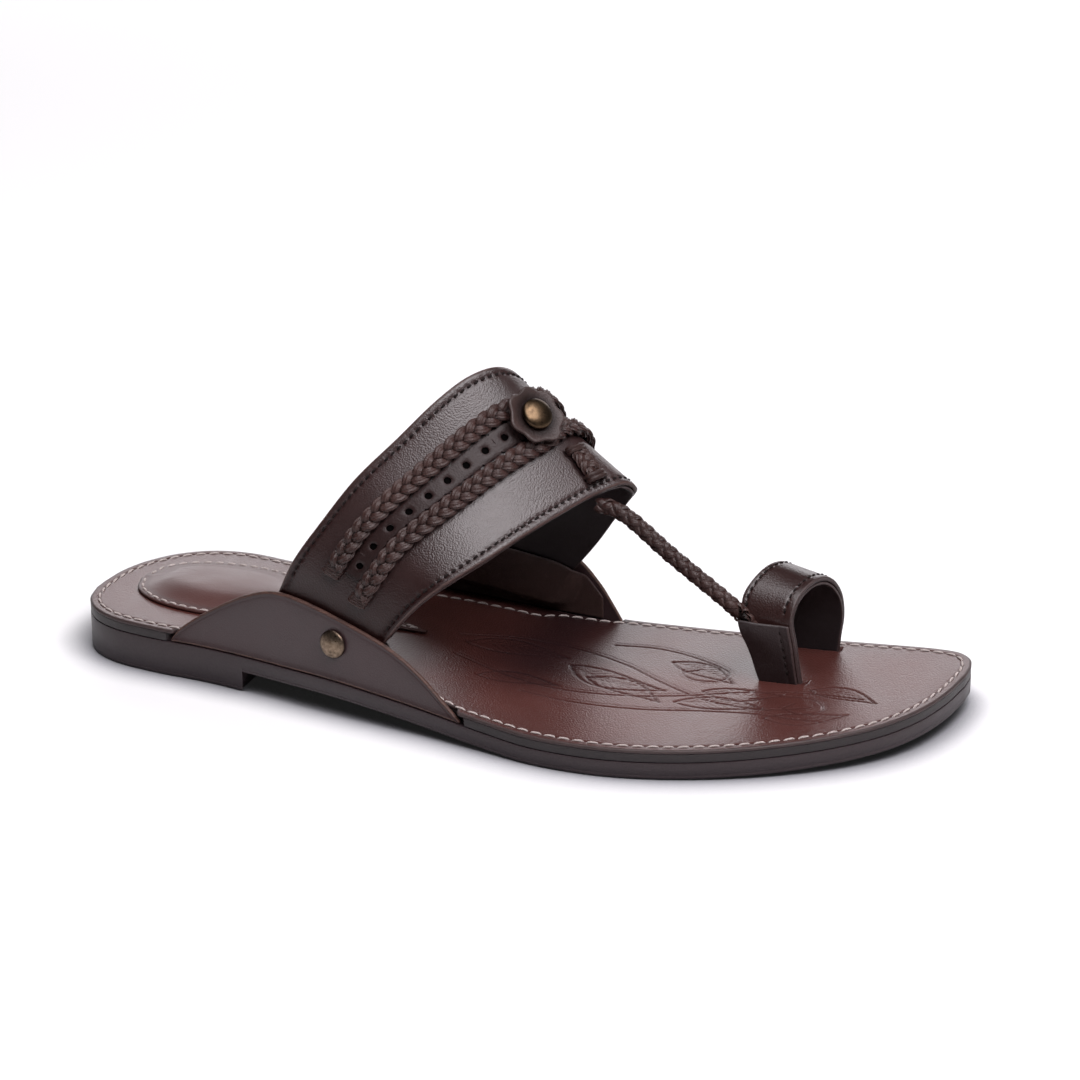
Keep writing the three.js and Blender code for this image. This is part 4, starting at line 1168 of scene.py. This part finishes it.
def add_strip():
    """A narrow strip between the braids with a row of punched holes, over a dark sheet that paints the shade
    seen down the holes.
    """
    half = HOLE_PITCH / 2
    cells = [punched_cell(u) for u in HOLES]
    before, after = max(u for u in HOLES if u < STUD_U), min(u for u in HOLES if u > STUD_U)
    for reach in ((0.15, HOLES[0] - half), (HOLES[-1] + half, 0.85), (before + half, after - half)):
        edges = STRIP_REAR, STRIP_FRONT
        cells.append(BAND.sheet(reach, 8, TRIM_GAP, STRIP_TOP, 12, 0.15, v=edges, end_round=0.15)[:2])
    obj = make("punched_strip", joined(cells), STRIP_LEATHER, "perforated_strip")
    # An even painted shade over the whole strip.
    paint_tone(obj, 0.35)
    # A dark sheet under the strip: painted shade seen down its holes.
    edges = (lambda u: STRIP_REAR(u) + 0.01), (lambda u: STRIP_FRONT(u) - 0.01)
    shape = plain(*BAND.sheet((0.152, 0.848), 6, 0.08, 0.4, 120, 0.1, v=edges))
    make("punched_strip_hole_shade", shape, HOLE_SHADE)


# ---------------- flower
FLOWER_SIDES, PETALS = 224, 7
FLOWER_HOLE, FLOWER_RADIUS, FLOWER_THICK = 2.1, 9.9, 1.4


def add_flower():
    """A scalloped leather flower that turns on its domed stud."""
    here, axis = BAND.face(STUD_U, STUD_V), BAND.normal(STUD_U, STUD_V)
    seat = TRIM_GAP + BRAID_THICK + GAP
    angle = np.arange(FLOWER_SIDES) * TAU / FLOWER_SIDES
    notch = 0.5 - 0.5 * np.cos(PETALS * angle)
    uneven = 1 + 0.025 * np.sin(2 * angle + 0.6) + 0.02 * np.sin(3 * angle + 2)
    rim = FLOWER_RADIUS * (1 - 0.12 * notch) * uneven
    top, under = [], []
    for share in [*np.linspace(0, 0.85, 16), 0.9, 0.94, 0.97, 0.99, 1.0]:
        r = mix(FLOWER_HOLE, rim, share)
        cup = 1.3 * share**2 + 0.45 * share * np.sin(2 * angle + 1) - 0.35 * share**2 * notch
        roll = 0.45 * max(0.0, (share - 0.9) / 0.1) ** 2
        for face, z in ((top, FLOWER_THICK - 0.1 + cup - roll), (under, cup * 0.9 + roll * 0.5 - 0.1)):
            face.append(points_of(r * np.cos(angle), r * np.sin(angle), seat + z))
    verts = frame_at(here, axis)(np.vstack(top + under[::-1]))
    shape = plain(verts, ring_faces(len(top + under), FLOWER_SIDES, closed=True))
    obj = make("leather_flower", shape, FLOWER, "flower_rosette", "flower", 60)
    paint_tone(obj, 0.9 * smooth((8.8 - np.linalg.norm(np.cross(drawn(obj) - here, axis), axis=1)) / 3.2))

    cap, inside = seat + 1.8 + GAP, LINING_FACE - LINING - TRIM_GAP
    dome = [(5.2 * math.cos(t), cap + 0.55 + 1.75 * math.sin(t)) for t in np.linspace(0.12, math.pi / 2, 12)]
    stem = [(0, inside - 0.8), (1.6, inside - 0.8), (1.6, cap)]
    stem += [(4.7, cap), (5.12, cap + 0.12), (5.25, cap + 0.45)]
    add_turned("flower_dome", stem + dome, here, axis, STUD, "flower_stud")
    dress("flower_stud_washer", BRASS)


# ---------------- toe cord and its keeper
KEEPER_U = 0.572
WINDINGS = {"rear": (0.655, 0.708), "front": (0.864, 0.926)}  # each one's v range
CORD = [
    (27.5, 13.6, 62), (32, 13.4, 61.8), (37, 13, 60), (42, 12.8, 56.7), (50.5, 12.5, 50.2),
    (59.7, 12.1, 43.9), (67.4, 11.6, 38.9), (73.2, 11.2, 35), (76.6, 12.3, 31.4), (78.8, 12.7, 28),
    (80.6, 12.7, 23.6),
]


def add_keeper():
    """The plaited keeper that ties the toe cord down, wound twice with a strand at both ends."""
    v = np.linspace(0.7, 0.872, 120)
    lane = BAND.lane(KEEPER_U + 0 * v, v, TRIM_GAP)
    add_plait("keeper_plait", lane, 6.6, 3.1, 8.0, (1.0, 2.6), "cord_keeper")
    turn = np.linspace(0, math.pi, 30)
    tall = TRIM_GAP + 0.5 + np.sin(turn) ** 0.5 * 2.2
    for name, (low, high) in WINDINGS.items():
        loops = []
        radius = (high - low) * BAND.width(KEEPER_U) / 4 * 1.12
        for middle in np.linspace(low + 0.008, high, 5)[1::2]:
            per_u = np.linalg.norm(BAND(KEEPER_U + 0.01, middle) - BAND(KEEPER_U - 0.01, middle)) / 0.02
            u, v = KEEPER_U + np.cos(turn) * 2.95 / per_u, middle + 0.004 * np.cos(turn)
            loop = BAND(u, v, tall)
            front = unit(BAND(u, v + 0.01, tall) - loop)
            loops.append(tube(loop, front, unit(np.cross(front, heading(loop))), radius, 0.85, 24, 0.08))
        paint_tone(add_braided(f"keeper_{name}_winding", loops, f"keeper_{name}_wrap"), 0.25)


def add_toe_cord():
    """A round braid of eight strands, four each way, that flattens into its tail under the patch."""
    path = dense(CORD)
    length = arc(path)[-1]
    s = np.linspace(0, length * 0.965, 260)
    line = at(path, s)
    ahead = heading(line)
    across = unit(np.stack([-ahead[:, 1], ahead[:, 0], 0 * s], -1))
    up = unit(np.cross(ahead, across))
    flat = smooth((s / length - 0.79) / 0.08)
    thin, wide = mix(1, CORD_TAIL / 2 / CORD_RADIUS, flat), mix(1, 1 + 0.5 / CORD_RADIUS, flat)
    period, middle, weave, count = 20.0, 1.72, 0.4, 4
    strands = []
    for way in (1, -1):
        for k in range(count):
            phase = way * TAU * s / period + TAU * k / count + (0 if way > 0 else math.pi / count)
            radius = middle + way * weave * np.sin(count * TAU * s / period)
            x, y = (np.cos(phase) * thin)[:, None], (np.sin(phase) * wide)[:, None]
            strand = line + (across * x + up * y) * radius[:, None]
            toward = heading(strand)
            side = unit(np.cross(toward, across * x + up * y))
            strands.append(tube(strand, side, unit(np.cross(side, toward)), 1.2, 0.6 - 0.24 * flat, 24, 0.1))
    obj = add_braided("braided_cord", strands, "toe_cord")
    # Painted shade in the hollows between the strands, darkest nearest the cord's middle.
    paint_tone(obj, 0.95 * smooth((2.3 - distance_to(drawn(obj), line)) / 0.7))


# ---------------- toe loop
def patch_bulge(u, v):
    """The patch's inner face, which lifts over the cord's tail."""
    along = (u - 0.052) / 0.21
    return GAP + (CORD_TAIL + 2 * GAP) * smooth((along - 0.25) / 0.7) * smooth((1.0 - v) / 0.8)


def patch_face(u, v):
    return patch_bulge(u, v) + 1.2 + crease((v - 0.806) * TOE_LOOP.width(u), 0.5, 0.2)


def loop_relief(u, v):
    width = TOE_LOOP.width(u)
    pucker = 0.7 + 0.3 * np.cos(TAU * u * TOE_LOOP.length / TOE_PITCH)
    seams = sum(crease((v - seam) * width, 0.55, 0.22) for seam in TOE_SEAMS.values())
    rolled = 0.15 * smooth((0.9 - np.minimum(v, 1 - v) * width) / 0.9)
    return rise_between(u, 0.27, 0.93, 0.02, 0.02) * pucker * seams - rolled


def add_toe_loop():
    reach = (0.012, 0.988)
    shape = TOE_LOOP.sheet(reach, 60, -LEATHER, loop_relief, 260, 0.6)
    obj = make("toe_ring", shape, [LOOP, DARK_EDGE], "toe_loop")
    p = drawn(obj)
    # The tone: painted shade low down near the footbed, darkest where the loop goes into its slots.
    paint_tone(obj, smooth((footbed_top(p[:, 0]) + 6 - p[:, 2]) / 8))
    add_lining("toe_ring_inner", TOE_LOOP, reach, 14, 150, "toe_loop_lining")
    u = np.linspace(0.3, 0.92, 400)
    for end, seam in TOE_SEAMS.items():
        sew_strap(f"toe_ring_{end}_stitches", TOE_LOOP, u, seam, -0.1, LOOP_STITCH, f"toe_loop_{end}_thread")
    shape = TOE_LOOP.sheet((0.03, 0.262), 40, patch_bulge, patch_face, 120, 0.5, v=(-0.03, 0.95))
    make("toe_patch", shape, [PATCH, DARK_EDGE], "toe_post_patch")
    u = np.linspace(0.07, 0.25, 200)
    sew_strap("toe_patch_stitches", TOE_LOOP, u, 0.76, 1.35, PATCH_STITCH, "toe_post_thread")


add_sole()
add_footbed()
add_heel_pad()
dress("heel_pad_foam", FOAM)
add_flap("lateral", LATERAL)
add_flap("medial", MEDIAL)
add_band()
add_braids()
add_strip()
add_flower()
add_keeper()
add_toe_loop()
add_toe_cord()
